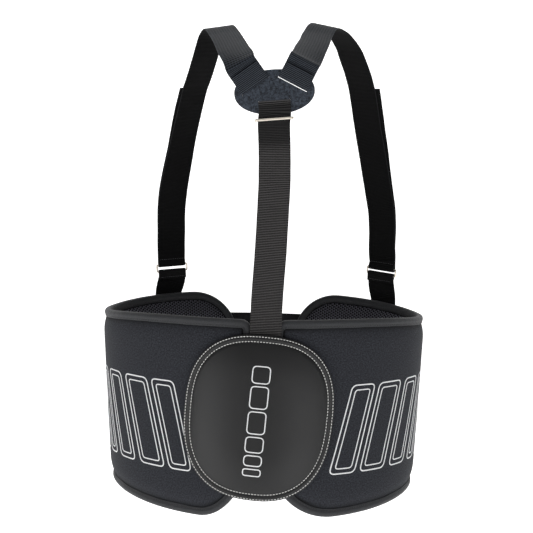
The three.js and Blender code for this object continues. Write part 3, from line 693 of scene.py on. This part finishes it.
def make_wing(name, wing):
    grid = wing_grid(wing, *WING_GRID)
    outer, inner = ([[wing_point(wing, along, level, stuffed_offset(wing, along, level, face))
                      for along, level in column] for column in grid] for face in ("outer", "inner"))
    body = Body().shell(outer, inner, grid)
    piece = make_piece("rib_pad_" + name, body, PANEL_CLOTH, ["rib_panel_" + name])
    insets = [inset_at(wing, *place) for column in grid for place in column]
    sewn = [index for index, inset in enumerate(insets + insets) if inset < STUFFING["bound"]]
    # The outer face swells most, but hardly at all under the spine pad.
    most = [mix(0.6, 4.5, smooth_step(spine_share(point), 1.0, 1.12)) for point in body.points[:len(insets)]]
    swell(piece, sewn, most + [2.5] * len(insets), 4.0)
    # Painted shade for the sewn groove: full within 8.5 mm of the wing's edge, fading out by 12.5 mm.
    painted_seam_shade = piece.data.attributes.new("painted_seam_shade", "FLOAT", "POINT")
    painted_seam_shade.data.foreach_set("value", [1 - smooth_step(inset, 8.5, 12.5) for inset in insets + insets])
    refine(piece)
    return piece


wing_pads = {name: make_wing(name, wing) for name, wing in WINGS.items()}
wing_skins = {name: surface_of(piece) for name, piece in wing_pads.items()}

# Spacer mesh linings.

LINING = dict(margin=9.6, lift=0.5, thickness=1.6, hem=1.2, grid=(110, 42))


def inside_place(name, along, level, lift):
    """A place on a wing's inner face, raised off it towards the wearer."""
    return on_skin(wing_skins[name], wing_turn(WINGS[name], along, level), level, INSIDE, -15, lift)[0]


def lining_lift(wing, along, level):
    """How far the mesh's open face stands off the wing. It thins towards its sewn hem."""
    hem = LINING["hem"] * (1 - smooth_step(inset_at(wing, along, level), 9, 15))
    return LINING["lift"] + LINING["thickness"] - hem


for name, wing in WINGS.items():
    grid = wing_grid(wing, *LINING["grid"], LINING["margin"])
    under = [[inside_place(name, *place, LINING["lift"]) for place in column] for column in grid]
    over = [[inside_place(name, *place, lining_lift(wing, *place)) for place in column] for column in grid]
    lining = make_piece("mesh_face_" + name, Body().shell(under, over, grid), MESH_CLOTH,
                        ["mesh_lining_" + name])

# Binding tape.

TAPE = dict(leaf=8.2, middle=-6.5, inside=3.1, thickness=1.3, overhang=2.0, step=4.2)
EDGE_SEWING = dict(pitch=3.6, length=2.9, radius=0.34)


def tape_section(wing, station, distance):
    """The folded tape's section: out over the leaf, round the edge and back, with a little pucker."""
    along, level, inward_along, inward_up = station
    pucker = 0.28 * math.sin(distance * 2 * math.pi / 7.4 + 2.5 * noise.noise(Vector((distance / 30, 1.7, 0))))
    drift = 0.5 * noise.noise(Vector((distance / 22, 9.2, 0)))
    outer = TAPE["inside"] + TAPE["thickness"]
    leaf = TAPE["leaf"] + drift
    profile = [
        (leaf, TAPE["inside"]), (leaf + 0.3, outer - 0.9), (leaf - 0.6, outer - 0.6), (leaf - 2, outer - 0.9),
        (4.2, outer + 0.35 + pucker), (1.8, outer + 0.2 + pucker), (0, outer - 0.5 + pucker * 0.6),
        (-1.5, outer - 1.8), (-TAPE["overhang"], 0),
        (-1.5, 1.8 - outer), (0, 0.5 - outer - pucker * 0.6), (1.8, -0.2 - outer - pucker),
        (4.2, -0.35 - outer - pucker), (leaf - 2, 0.9 - outer), (leaf - 0.6, 0.6 - outer),
        (leaf + 0.3, 0.9 - outer), (leaf, -TAPE["inside"]),
        (0, -TAPE["inside"] + 0.3), (-0.6, 0), (0, TAPE["inside"] - 0.3),
    ]
    return [wing_point(wing, along + depth * inward_along, level + depth * inward_up, TAPE["middle"] + height)
            for depth, height in profile]


def stitch_along(body, places, pitch, length, radius):
    """Stitches at an even pitch round a closed run of places, each a point and the way out of the cloth."""
    places = [*places, places[0]]
    stations = even_steps([(*point, *out) for point, out in places], [point for point, _ in places], pitch)
    for row, ahead in zip(stations, stations[1:] + stations[:1]):
        here, there, out = Vector(row[:3]), Vector(ahead[:3]), Vector(row[3:])
        body.stitch((here + there) / 2, (there - here).normalized(), out.normalized(), length, radius)


def on_tape(wing, station, side, proud):
    """A place at the sewn margin of the tape's outer (1) or inner (-1) leaf, proud of the leaf."""
    along, level, inward_along, inward_up = station
    depth = TAPE["leaf"] - 1.8
    return wing_point(wing, along + depth * inward_along, level + depth * inward_up,
                      TAPE["middle"] + side * (TAPE["inside"] + TAPE["thickness"] + proud))


for name, wing in WINGS.items():
    outline = wing_outline(wing, TAPE["step"])
    distances = [i * TAPE["step"] for i in range(len(outline) + 1)]
    sections = [tape_section(wing, station, distance) for station, distance in zip(outline, distances)]
    tape = make_piece("edge_tape_" + name, Body().loft(sections, True, distances), EDGE_TAPE,
                      ["binding_" + name])
    refine(tape)
    seam = Body()
    for side in (1, -1):
        row = []
        for station in outline:
            sunk, clear = on_tape(wing, station, side, -0.8), on_tape(wing, station, side, 4)
            row.append((sunk, (clear - sunk).normalized()))
        stitch_along(seam, row, **EDGE_SEWING)
    make_piece("edge_stitches_" + name, seam, BLACK_THREAD)

# Spine pad.

SPINE_ROWS = (2.2, 8.2)
SPINE_SEWING = dict(pitch=3.7, length=2.6, radius=0.5)
PAD_GRID = 56
RIM_TURN = math.pi / 2 * 0.94


def spine_place(side, up):
    """A place on the back of the wall under the spine pad's own flat coordinates."""
    lean = math.radians(SPINE["lean"])
    level = SPINE["z"] + up * math.cos(lean) - side * math.sin(lean)
    x = SPINE["x"] + side * math.cos(lean) + up * math.sin(lean)
    lift = lift_at(level)
    width = BAND["half_width"] * mix(BAND["waist_width"], 1, lift)
    turn = math.asin(signed_power((x - plan_shift(lift)) / width, BAND["fullness"] / 2))
    return turn, level


def spine_flat(share, angle):
    """Flat coordinates of the pad at a share of the way out and an angle round it."""
    power = SPINE["fullness"]
    reach = (abs(math.cos(angle)) ** power + abs(math.sin(angle)) ** power) ** (-1 / power)
    up = reach * math.sin(angle)
    side = reach * math.cos(angle) * (1 + SPINE["wedge"] * up)
    return SPINE["half_width"] * side * share, SPINE["half_height"] * up * share


def spine_height(inset):
    """The vinyl's height over the pad's underside: a rolled rim, two rows of sewing, then the crown."""
    first, second = SPINE_ROWS
    rim = 2.6 + 1.9 * math.sqrt(clamp(inset / 1.4))
    crown = 4.0 * (1 - (1 - clamp((inset - second) / 42)) ** 2)
    return (rim + crown - 0.7 * math.exp(-((inset - first) / 0.9) ** 2)
            - 1.1 * math.exp(-((inset - second) / 1.4) ** 2))


def pad_station(c, r):
    """A point of the pad's grid, closer spaced at the rim: its flat place, and its outer and inner places."""
    u, v = (math.sin(RIM_TURN * (2 * k / PAD_GRID - 1)) / math.sin(RIM_TURN) for k in (c, r))
    disc_x, disc_y = u * math.sqrt(1 - v * v / 2), v * math.sqrt(1 - u * u / 2)
    angle, share = math.atan2(disc_y, disc_x), min(1, math.hypot(disc_x, disc_y))
    flat = spine_flat(share, angle)
    turn, level = spine_place(*flat)
    inset = (1 - share) * math.hypot(*spine_flat(1, angle))
    return (flat, wall_point(turn, level, SPINE["seat"] + spine_height(inset)),
            wall_point(turn, level, SPINE["seat"]))


pad_grid = [[pad_station(c, r) for r in range(PAD_GRID + 1)] for c in range(PAD_GRID + 1)]
pad_flats, pad_outer, pad_inner = ([[station[k] for station in column] for column in pad_grid]
                                   for k in range(3))
spine_body = Body().shell(pad_outer, pad_inner, pad_flats)
spine_pad = make_piece("spine_pad", spine_body, PAD_VINYL, ["spine_panel"])
sewn = [index for index, place in enumerate([place for column in pad_flats for place in column] * 2)
        if pad_share(*place) > 0.89 or index >= (PAD_GRID + 1) ** 2]
swell(spine_pad, sewn, [3.0] * len(spine_body.points), 3.0)
refine(spine_pad)
spine_skin = surface_of(spine_pad)


def on_spine(side, up, lift):
    """A place on the pad, and the way out there."""
    turn, level = spine_place(side, up)
    return on_skin(spine_skin, turn, level, OUTSIDE, 9, lift)


spine_seam = Body()
for inset in SPINE_ROWS:
    row = []
    for degrees in range(360):
        angle = 2 * math.pi * degrees / 360
        reach = math.hypot(*spine_flat(1, angle))
        row.append(on_spine(*spine_flat(1 - inset / reach, angle), 0.0))
    stitch_along(spine_seam, row, **SPINE_SEWING)
make_piece("spine_stitches", spine_seam, WHITE_THREAD)

# Generic printed bars.


def rounded_bar(centre, width, height, slant, radius):
    """The outline of a slanted bar with rounded corners, as flat places."""
    shift = math.tan(math.radians(slant)) * height / 2
    corners = [Vector((centre[0] + x * width / 2 + y * shift, centre[1] + y * height / 2))
               for x, y in ((-1, -1), (1, -1), (1, 1), (-1, 1))]
    outline = []
    for i, corner in enumerate(corners):
        before, ahead = corners[i - 1], corners[(i + 1) % 4]
        start = corner + (before - corner).normalized() * radius
        end = corner + (ahead - corner).normalized() * radius
        for k in range(7):
            t = k / 6
            outline.append(start * (1 - t) ** 2 + corner * (2 * t * (1 - t)) + end * t ** 2)
        following = ahead + (corner - ahead).normalized() * radius
        steps = max(2, int((following - end).length / 5))
        outline += [end.lerp(following, k / steps) for k in range(1, steps)]
    return outline


INK_UNDER, INK_OVER = -0.25, 0.22


def print_line(body, outline, width, place_on):
    """A closed printed line of ink over the cloth along a flat outline."""
    sections = []
    for i, spot in enumerate(outline):
        travel = (outline[(i + 1) % len(outline)] - outline[i - 1]).normalized()
        aside = Vector((-travel.y, travel.x)) * (width / 2)
        inner, outer = spot - aside, spot + aside
        sections.append([place_on(inner, INK_UNDER), place_on(outer, INK_UNDER),
                         place_on(outer, INK_OVER), place_on(inner, INK_OVER)])
    body.loft(sections, True)


BARS = dict(level=-494, height=106, slant=14, line=1.55, inset=6)
# Each bar: its middle along the wing from the spine, and its width.
SIDE_BARS = ((103, 34), (148, 40), (195, 32), (233, 22), (262, 14), (285, 9))
# Each box on the pad: its middle's height, its width and its height.
PAD_BOXES = ((52, 20, 20), (25, 20, 26), (-5, 20, 26), (-31, 20, 18), (-50, 20, 12), (-64, 20, 8))


def on_wing(name, spot, lift):
    turn = wing_turn(WINGS[name], spot.x, spot.y)
    return on_skin(wing_skins[name], turn, spot.y, OUTSIDE, 2, lift)[0]


def on_pad(spot, lift):
    return on_spine(spot.x, spot.y, lift * 0.8)[0]


for name in WINGS:
    ink = Body()
    for along, width in SIDE_BARS:
        for inset in (0, BARS["inset"]) if width > 20 else (0,):
            outline = rounded_bar((along, BARS["level"]), width - 2 * inset, BARS["height"] - 2 * inset,
                                  BARS["slant"], (7 if width > 14 else 4) - inset / 2)
            print_line(ink, outline, BARS["line"] - inset / 30, partial(on_wing, name))
    make_piece("printed_bars_" + name, ink, WHITE_INK)

spine_ink = Body()
for up, width, height in PAD_BOXES:
    print_line(spine_ink, rounded_bar((-1.5, up), width, height, 0, min(5, height * 0.4)), 1.3, on_pad)
make_piece("printed_column", spine_ink, WHITE_INK)

# Webbing harness.

STRAP = dict(width=38, thickness=1.5, gap=0.35, cup=0.25, step=3.0)
WIRE = dict(diameter=2.4, inside=40, window=6.8, corner=1.6, bend_steps=8, sides=20)
TACK = dict(width=34, count=13, length=2.1, radius=0.34, from_bar=7.5)
FOLD_RADIUS = WIRE["diameter"] / 2 + STRAP["gap"] + STRAP["thickness"] / 2
FOLD_LEAD = 9
LAYER_STEP = STRAP["thickness"] + 0.75
PLATE = dict(
    x=4, y=-158, z=-90, turn=5, half_width=47.6, half_height=26.4, fullness=2.15, thickness=2.6, rounding=0.45,
    slot_length=37.8, slots=dict(left=3.05, right=3.75, back=3.05), shoulder_x=23.3, shoulder_z=10.4, slant=31,
    back_x=-1, back_z=-12.6,
)
# Stations of a shoulder strap beside its slot: distance up from the slot, and proud of the plate's middle.
ABOVE_SLOT = ((14, FOLD_RADIUS), (6, FOLD_RADIUS))
BEHIND_SLOT = ((8, -FOLD_RADIUS), (17, -FOLD_RADIUS), (28, 0))
# Each row: x, y, z, heading of the strap's width, slope of the width, and how far the folded layer has slipped.
LEFT_ROWS = (
    (-39.6, -146, -50.6, 2, 24), (-46.1, -118, -39, 5, 16), (-52.5, -82, -26.3, 8, 12),
    (-59.6, -45, -13.4, 10, 11), (-69.5, -5, -1.3, 12, 10), (-77.2, 19, -7.6, 20, 9),
    (-83, 32, -22, 28, 6), (-87.8, 42, -37.3, 31, 3),
    (-94.5, 57, -57.4, 31, 0), (-99.2, 66, -70, 33, 0), (-101.6, 70.5, -76, 33, 0, -3.4),
    (-109.1, 84, -105.4, 33, 0, -3.4), (-115.5, 93, -132.5, 31, 0, -2.1), (-121, 99, -159.7, 27, 0, -1),
    (-130.8, 106, -215, 10, 0, -1), (-133.2, 107, -242.8, 6, 0, -0.6), (-132.8, 106, -270.5, 6, 1, -0.4),
    (-132.4, 102, -292, 14, 6, 0),
)
RIGHT_ROWS = (
    (41.1, -145, -48.6, -2, -24), (46.3, -114, -36.4, -6, -15), (52.4, -80, -23.8, -12, -10),
    (57.8, -43, -10.4, -18, -10), (68, -8, 3.5, -24, -12), (80, 9, 0.4, -27, -12),
    (91.5, 22, -9, -29, -10), (102.5, 36, -23, -29, -6),
    (107.1, 43, -32.5, -27, -3), (116.3, 57, -52.4, -26, 0), (120.2, 64, -63, -26, 0),
    (123.1, 69.3, -71.5, -25, 0, 6.2), (129.2, 80, -99.3, -24, 0, 5.7), (134.7, 87, -126.3, -23, 0, 5.2),
    (140.6, 91, -153.5, -22, 0, 4), (151.4, 93, -208.3, -21, 0, 1.6), (156.5, 91, -235.5, -22, 0, 0.8),
    (158.2, 88, -262.8, -24, -1, 0.4), (158.2, 85, -290, -27, -5, 0),
)
SHOULDERS = dict(
    left=dict(rows=LEFT_ROWS, cut_end=20.5, ring=(-130.8, 99, -322, 18, 4.5), tab_turn=-140.4, slack=0),
    right=dict(rows=RIGHT_ROWS, cut_end=16.5, ring=(158.5, 82.5, -319, -30, -5), tab_turn=128.8, slack=0.8),
)
BACK_ROWS = (
    (-0.6, -159.6, -432), (0, -157, -405), (0.3, -154.8, -380), (1, -154.9, -337), (4, -156.5, -277),
    (6, -157.6, -217), (6.6, -158, -195), (5.7, -158.8, -158), (4.2, -159.7, -125),
)
KEEPER = dict(place=(4.3, -158.7, -122), slope=5.5, window=6.2, diameter=3.2)
# A tab's stations on the wing: distance below the wing's top edge, and out from the wall.
TAB_WALL = ((-3, 1), (8, 1), (22, 1.8), (40, 2.6), (64, 2.7))
TAB_TACKS = (34, 60)


def lean_of(heading, slope):
    turn, rise = math.radians(heading), math.radians(slope)
    return Vector((math.cos(turn) * math.cos(rise), math.sin(turn) * math.cos(rise), math.sin(rise)))


def curve_through(stations):
    """A smooth run through stations of a place and a lean, with places about a step apart."""
    places = [place for place, _ in stations]
    leans = [lean for _, lean in stations]
    run = []
    for i in range(len(places) - 1):
        p1, p2 = places[i], places[i + 1]
        p0 = places[i - 1] if i else p1 * 2 - p2
        p3 = places[i + 2] if i + 2 < len(places) else p2 * 2 - p1
        d1, d2, d3 = (max(1e-4, (b - a).length ** 0.5) for a, b in ((p0, p1), (p1, p2), (p2, p3)))
        m1 = (p2 - p1) + ((p1 - p0) / d1 - (p2 - p0) / (d1 + d2)) * d2
        m2 = (p2 - p1) + ((p3 - p2) / d3 - (p3 - p1) / (d2 + d3)) * d2
        count = max(1, round((p2 - p1).length / STRAP["step"]))
        for k in range(count):
            t = k / count
            place = (p1 * (2 * t ** 3 - 3 * t ** 2 + 1) + m1 * (t ** 3 - 2 * t ** 2 + t)
                     + p2 * (3 * t ** 2 - 2 * t ** 3) + m2 * (t ** 3 - t ** 2))
            run.append((place, leans[i].lerp(leans[i + 1], t).normalized()))
    run.append(stations[-1])
    return run


# The webbing's thickness at shares of its half width: firmer beside the selvedge, which is rounded off.
SELVEDGE = {0.0: 1, 0.25: 1, 0.5: 1, 0.75: 1, 0.93: 1.06, 0.985: 0.75, 1.0: 0.3375}
ACROSS = [-share for share in reversed(SELVEDGE) if share] + list(SELVEDGE)


def web_frames(stations):
    """Place, across and out at each station of a strap."""
    frames = []
    for i, (place, lean) in enumerate(stations):
        before = stations[max(0, i - 1)][0]
        ahead = stations[min(len(stations) - 1, i + 1)][0]
        travel = (ahead - before).normalized()
        across = (lean - travel * lean.dot(travel)).normalized()
        frames.append((place, across, travel.cross(across)))
    return frames


def web_strap(stations, seed):
    """Woven webbing through stations, slightly dished and with slightly uneven edges."""
    frames = web_frames(curve_through(stations))
    sections = []
    distance = 0.0
    for i, (place, across, out) in enumerate(frames):
        if i:
            distance += (place - frames[i - 1][0]).length
        half = STRAP["width"] / 2 + 0.18 * noise.noise(Vector((distance / 14, seed, 0.5)))
        sway = 0.15 * noise.noise(Vector((distance / 40, seed, 7.5)))
        cup = STRAP["cup"] * noise.noise(Vector((distance / 55, seed, 2.5)))
        ring = []
        for face in (1, -1):
            for share in ACROSS[::face]:
                thick = STRAP["thickness"] / 2 * SELVEDGE[abs(share)]
                ring.append(place + across * (share * half + sway)
                            + out * (face * thick + cup * (share ** 2 - 0.35)))
        sections.append(ring)
    return Body().loft(sections)


def fold_over(centre, start, travel, lean, slack=0):
    radius = FOLD_RADIUS + slack
    return [(centre + start * (radius * math.cos(turn)) + travel * (radius * math.sin(turn)), lean)
            for turn in (math.pi * i / 6 for i in range(7))]


def plate_point(x, z, proud):
    turn = math.radians(PLATE["turn"])
    return Vector((PLATE["x"] + x * math.cos(turn) - z * math.sin(turn), PLATE["y"] - proud,
                   PLATE["z"] + z * math.cos(turn) + x * math.sin(turn)))


def ring_frame(ring):
    x, y, z, heading, slope = ring
    across = lean_of(heading, slope)
    turn = math.radians(heading)
    facing = Vector((-math.sin(turn), math.cos(turn), 0))
    return across, facing, across.cross(facing).normalized(), Vector((x, y, z))


def beside_slot(side, distance, proud):
    """A place beside the middle of a shoulder slot, up from it and proud of the plate's middle."""
    slant = math.radians(PLATE["slant"])
    return plate_point(side * (PLATE["shoulder_x"] + distance * math.sin(slant)),
                       PLATE["shoulder_z"] + distance * math.cos(slant), proud)


def bar_tack(body, place, across, out):
    """A row of close stitches across a strap, on one face."""
    for k in range(TACK["count"]):
        share = (k + 0.5) / TACK["count"] - 0.5
        body.stitch(place + across * (share * TACK["width"]), across, out, TACK["length"], TACK["radius"])


BAR_RISE = (WIRE["window"] + WIRE["diameter"]) / 2
harness_thread = Body()
for name, strap in SHOULDERS.items():
    side = WINGS[name]["side"]
    lip = beside_slot(side, 0, 0)
    climb = beside_slot(side, 1, 0) - lip
    lean = climb.cross(BACKWARD)
    cut_end = (strap["cut_end"], FOLD_RADIUS - 0.2)
    stations = [(beside_slot(side, *spot), lean) for spot in (cut_end, *ABOVE_SLOT)]
    stations += fold_over(lip, BACKWARD, -climb, lean)
    stations += [(beside_slot(side, *spot), lean) for spot in BEHIND_SLOT]
    folded = []
    for x, y, z, heading, slope, *slip in strap["rows"]:
        place, row_lean = Vector((x, y, z)), lean_of(heading, slope)
        stations.append((place, row_lean))
        if slip:
            off = Vector((-row_lean.y, row_lean.x, 0)).normalized()
            folded.append((place + off * LAYER_STEP + row_lean * slip[0], row_lean))
    across, facing, up, centre = ring_frame(strap["ring"])
    bar, apart = centre + up * BAR_RISE, facing * (LAYER_STEP / 2)
    stations += [(bar + up * FOLD_LEAD - apart, across),
                 *fold_over(bar, -facing, -up, across, strap["slack"]),
                 (bar + up * FOLD_LEAD + apart, across), *reversed(folded)]
    piece = make_piece("shoulder_web_" + name, web_strap(stations, 11.0 if side < 0 else 23.0),
                       SHOULDER_WEBBING, ["shoulder_strap_" + name])
    sharpen(piece, 50)
    # Sewing that closes the lower fold above the ring, seen on the side that faces the wearer.
    bar_tack(harness_thread, bar + up * TACK["from_bar"] - facing * (LAYER_STEP / 2 + STRAP["thickness"] / 2),
             across, -facing)

    tab_bar = centre - up * BAR_RISE
    turn = math.radians(strap["tab_turn"])
    normal = plan_normal(turn, 1)
    wall_lean = Vector((-normal.y, normal.x, 0)) * math.copysign(1, -normal.y)
    stations = [(tab_bar - up * 10 - facing * (FOLD_RADIUS - 0.6), across),
                (tab_bar - up * 6 - facing * FOLD_RADIUS, across),
                *fold_over(tab_bar, -facing, up, across, strap["slack"]),
                (tab_bar - up * FOLD_LEAD - facing * (0.3 - FOLD_RADIUS), across)]
    stations += [(wall_point(turn, top_edge(turn) - below, outward + 1.2), wall_lean)
                 for below, outward in TAB_WALL]
    piece = make_piece("tab_web_" + name, web_strap(stations, 31.0 if side < 0 else 37.0),
                       TAB_WEBBING, ["front_tab_" + name])
    sharpen(piece, 50)
    bar_tack(harness_thread, tab_bar - up * TACK["from_bar"] - facing * (FOLD_RADIUS + STRAP["thickness"] / 2),
             across, -facing)
    for below in TAB_TACKS:
        bar_tack(harness_thread, wall_point(turn, top_edge(turn) - below, 4.8), wall_lean, normal)

plate_lean = plate_point(1, 0, 0) - plate_point(0, 0, 0)
plate_up = -plate_lean.cross(BACKWARD)
back_lip = plate_point(PLATE["back_x"], PLATE["back_z"], 0)
level_lean = Vector((1, 0, 0))
back_stations = [(Vector(row), level_lean) for row in BACK_ROWS]
back_stations += [(back_lip - plate_up * 10 + BACKWARD * FOLD_RADIUS, plate_lean),
                  *fold_over(back_lip, BACKWARD, plate_up, plate_lean),
                  (back_lip - plate_up * 13 - BACKWARD * FOLD_RADIUS, plate_lean)]
back_stations += [(Vector(row) - BACKWARD * LAYER_STEP, level_lean) for row in reversed(BACK_ROWS[-3:])]
sharpen(make_piece("back_web", web_strap(back_stations, 5.0), BACK_WEBBING, ["back_strap"]), 50)
make_piece("harness_stitches", harness_thread, DULL_THREAD)

# Wire rings.


def wire_ring(name, across, second, centre, size, stands_for):
    """A rectangle of round wire with tight bends, butt-welded in the middle of one long side."""
    third = across.cross(second)
    radius = size["diameter"] / 2
    half_length = WIRE["inside"] / 2 + radius - WIRE["corner"]
    half_height = size["window"] / 2 + radius - WIRE["corner"]
    sections = []
    for corner in range(4):
        middle = Vector((half_length if corner in (0, 3) else -half_length,
                         half_height if corner < 2 else -half_height))
        for i in range(WIRE["bend_steps"] + 1):
            angle = math.pi / 2 * (corner + i / WIRE["bend_steps"])
            out = Vector((math.cos(angle), math.sin(angle)))
            ring = []
            for j in range(WIRE["sides"]):
                round_turn = 2 * math.pi * j / WIRE["sides"]
                spot = middle + out * (WIRE["corner"] + radius * math.cos(round_turn))
                ring.append(centre + across * spot.x + second * spot.y
                            + third * (radius * math.sin(round_turn)))
            sections.append(ring)
    make_piece(name, Body().loft(sections, True), RING_METAL, [stands_for])


for name, strap in SHOULDERS.items():
    across, facing, up, centre = ring_frame(strap["ring"])
    wire_ring("wire_ring_" + name, across, up, centre, WIRE, "ring_" + name)
wire_ring("wire_keeper", lean_of(0, KEEPER["slope"]), Vector((0, 1, 0)), Vector(KEEPER["place"]), KEEPER,
          "back_ring")

# Yoke plate.


def plate_outline(curve, points):
    spline = curve.splines.new("POLY")
    spline.points.add(len(points) - 1)
    for spot, (x, z) in zip(spline.points, points):
        spot.co = (x * MM, z * MM, 0, 1)
    spline.use_cyclic_u = True


leather = bpy.data.curves.new("yoke_leather", "CURVE")
leather.dimensions = "2D"
leather.fill_mode = "BOTH"
leather.extrude = (PLATE["thickness"] / 2 - PLATE["rounding"]) * MM
leather.bevel_depth = PLATE["rounding"] * MM
leather.bevel_resolution = 2
leather.offset = -PLATE["rounding"] * MM
round_power = 2 / PLATE["fullness"]
plate_outline(leather, [(PLATE["half_width"] * signed_power(math.cos(turn), round_power),
                         PLATE["half_height"] * signed_power(math.sin(turn), round_power))
                        for turn in (2 * math.pi * i / 120 for i in range(120))])
for slot_x, slot_z, slot_turn, opens in (
        (-PLATE["shoulder_x"], PLATE["shoulder_z"], PLATE["slant"], -PLATE["slots"]["left"]),
        (PLATE["shoulder_x"], PLATE["shoulder_z"], -PLATE["slant"], -PLATE["slots"]["right"]),
        (PLATE["back_x"], PLATE["back_z"], 0, PLATE["slots"]["back"])):
    turn = math.radians(slot_turn)
    half = PLATE["slot_length"] / 2
    plate_outline(leather, [(slot_x + u * math.cos(turn) - v * math.sin(turn),
                             slot_z + u * math.sin(turn) + v * math.cos(turn))
                            for u, v in ((-half, 0), (half, 0), (half, opens), (-half, opens))])
drawn = put_in_scene("yoke_drawn", leather)
bpy.context.view_layer.update()
plate_mesh = bpy.data.meshes.new_from_object(drawn.evaluated_get(bpy.context.evaluated_depsgraph_get()))
bpy.data.objects.remove(drawn)
welded = bmesh.new()
welded.from_mesh(plate_mesh)
bmesh.ops.remove_doubles(welded, verts=welded.verts, dist=0.00001)
bmesh.ops.recalc_face_normals(welded, faces=welded.faces)
welded.to_mesh(plate_mesh)
welded.free()
plate_mesh.transform(Matrix.Translation(Vector((PLATE["x"], PLATE["y"], PLATE["z"])) * MM)
                     @ Matrix.Rotation(-math.radians(PLATE["turn"]), 4, "Y")
                     @ Matrix.Rotation(math.pi / 2, 4, "X"))
plate_mesh.materials.clear()
sharpen(enrol("yoke_leather", plate_mesh, PLATE_SUEDE, ["yoke_plate"]), 35)

# Elastic closure.

CLOSURE = dict(left_reach=105, right_reach=122, top=-386, height=105, corner=16, inner=2.4, outer=4.6,
               columns=60, rows=20)
span = CLOSURE["left_reach"] + CLOSURE["right_reach"]
closure_sheets = {"outer": [], "inner": []}
closure_flats = []
for c in range(CLOSURE["columns"] + 1):
    station = span * eased(c / CLOSURE["columns"], 0.85)
    from_front = station - CLOSURE["left_reach"]
    turn = turn_at(-1 if from_front < 0 else 1, GIRTH[-1] - abs(from_front))
    drop = corner_drop(min(station, span - station), CLOSURE["corner"])
    low, high = CLOSURE["top"] - CLOSURE["height"] + drop, CLOSURE["top"] - drop
    levels = [mix(low, high, r / CLOSURE["rows"]) for r in range(CLOSURE["rows"] + 1)]
    closure_flats.append([(station, level) for level in levels])
    for face, sheet in closure_sheets.items():
        sheet.append([wall_point(turn, level, CLOSURE[face] + 0.5 * math.sin(level / 11)) for level in levels])
closure = make_piece("closure_elastic", Body().shell(*closure_sheets.values(), closure_flats),
                     ELASTIC_CLOTH, ["closure_strap"])
sharpen(closure, 60)

# Studio.

SWEEP = dict(half_width=6, near=-6, floor=-0.95, bend_start=1.6, bend=1.4, bend_steps=12, top=5.0)
sweep = [(SWEEP["near"], SWEEP["floor"]), (SWEEP["bend_start"], SWEEP["floor"])]
for k in range(1, SWEEP["bend_steps"] + 1):
    bend_turn = math.pi / 2 * k / SWEEP["bend_steps"]
    sweep.append((SWEEP["bend_start"] + SWEEP["bend"] * math.sin(bend_turn),
                  SWEEP["floor"] + SWEEP["bend"] * (1 - math.cos(bend_turn))))
sweep.append((SWEEP["bend_start"] + SWEEP["bend"], SWEEP["top"]))
stage_mesh = bpy.data.meshes.new("studio_sweep")
stage_mesh.from_pydata([(x, y, z) for y, z in sweep for x in (-SWEEP["half_width"], SWEEP["half_width"])], [],
                       [(2 * i, 2 * i + 1, 2 * i + 3, 2 * i + 2) for i in range(len(sweep) - 1)])
stage_mesh.shade_smooth()
paper = new_material("white_paper_sweep")
fibres = add_node(paper, "TexNoise", {"Scale": 40.0, "Detail": 3.0})
shade = add_node(paper, "Mix", {0: fibres, 6: "#fbfbfb", 7: "#ffffff"}, 2, data_type="RGBA")
finish_material(paper, shade, 0.9, Emission_Color=(1, 1, 1, 1), Emission_Strength=0.9)
stage_mesh.materials.append(paper)
stage = put_in_scene("studio_sweep", stage_mesh)

world = bpy.data.worlds.new("studio_air")
world.use_nodes = True
world.node_tree.nodes["Background"].inputs[0].default_value = (1, 1, 1, 1)
world.node_tree.nodes["Background"].inputs[1].default_value = 0.12
bpy.context.scene.world = world

LAMP_SIZE, LAMP_AIM = 1.2, Vector((0, 0, -0.35))
LAMPS = (("key_softbox", (1.1, -1.8, -1.0), 17), ("fill_softbox", (-1.4, -1.5, -0.8), 15),
         ("top_softbox", (0.1, -0.9, 1.6), 8))
for name, place, power in LAMPS:
    light = bpy.data.lights.new(name, "AREA")
    light.size = LAMP_SIZE
    light.energy = power
    lamp = put_in_scene(name, light)
    lamp.location = place
    lamp.rotation_euler = (LAMP_AIM - Vector(place)).to_track_quat("-Z", "Y").to_euler()

bpy.context.scene.view_settings.view_transform = "Standard"

# Camera.

VIEW = dict(place=(-0.0063, -1.700, -0.1693), lens=87.83, sensor=36, pitch=85.29, yaw=-0.0037, roll=0.0236)
camera_data = bpy.data.cameras.new("camera")
camera_data.lens = VIEW["lens"]
camera_data.sensor_width = VIEW["sensor"]
camera = put_in_scene("camera", camera_data)
camera.matrix_world = (Matrix.Translation(VIEW["place"]) @ Matrix.Rotation(VIEW["yaw"], 4, "Z")
                       @ Matrix.Rotation(math.radians(VIEW["pitch"]), 4, "X")
                       @ Matrix.Rotation(VIEW["roll"], 4, "Z"))
bpy.context.scene.camera = camera

bpy.context.view_layer.update()
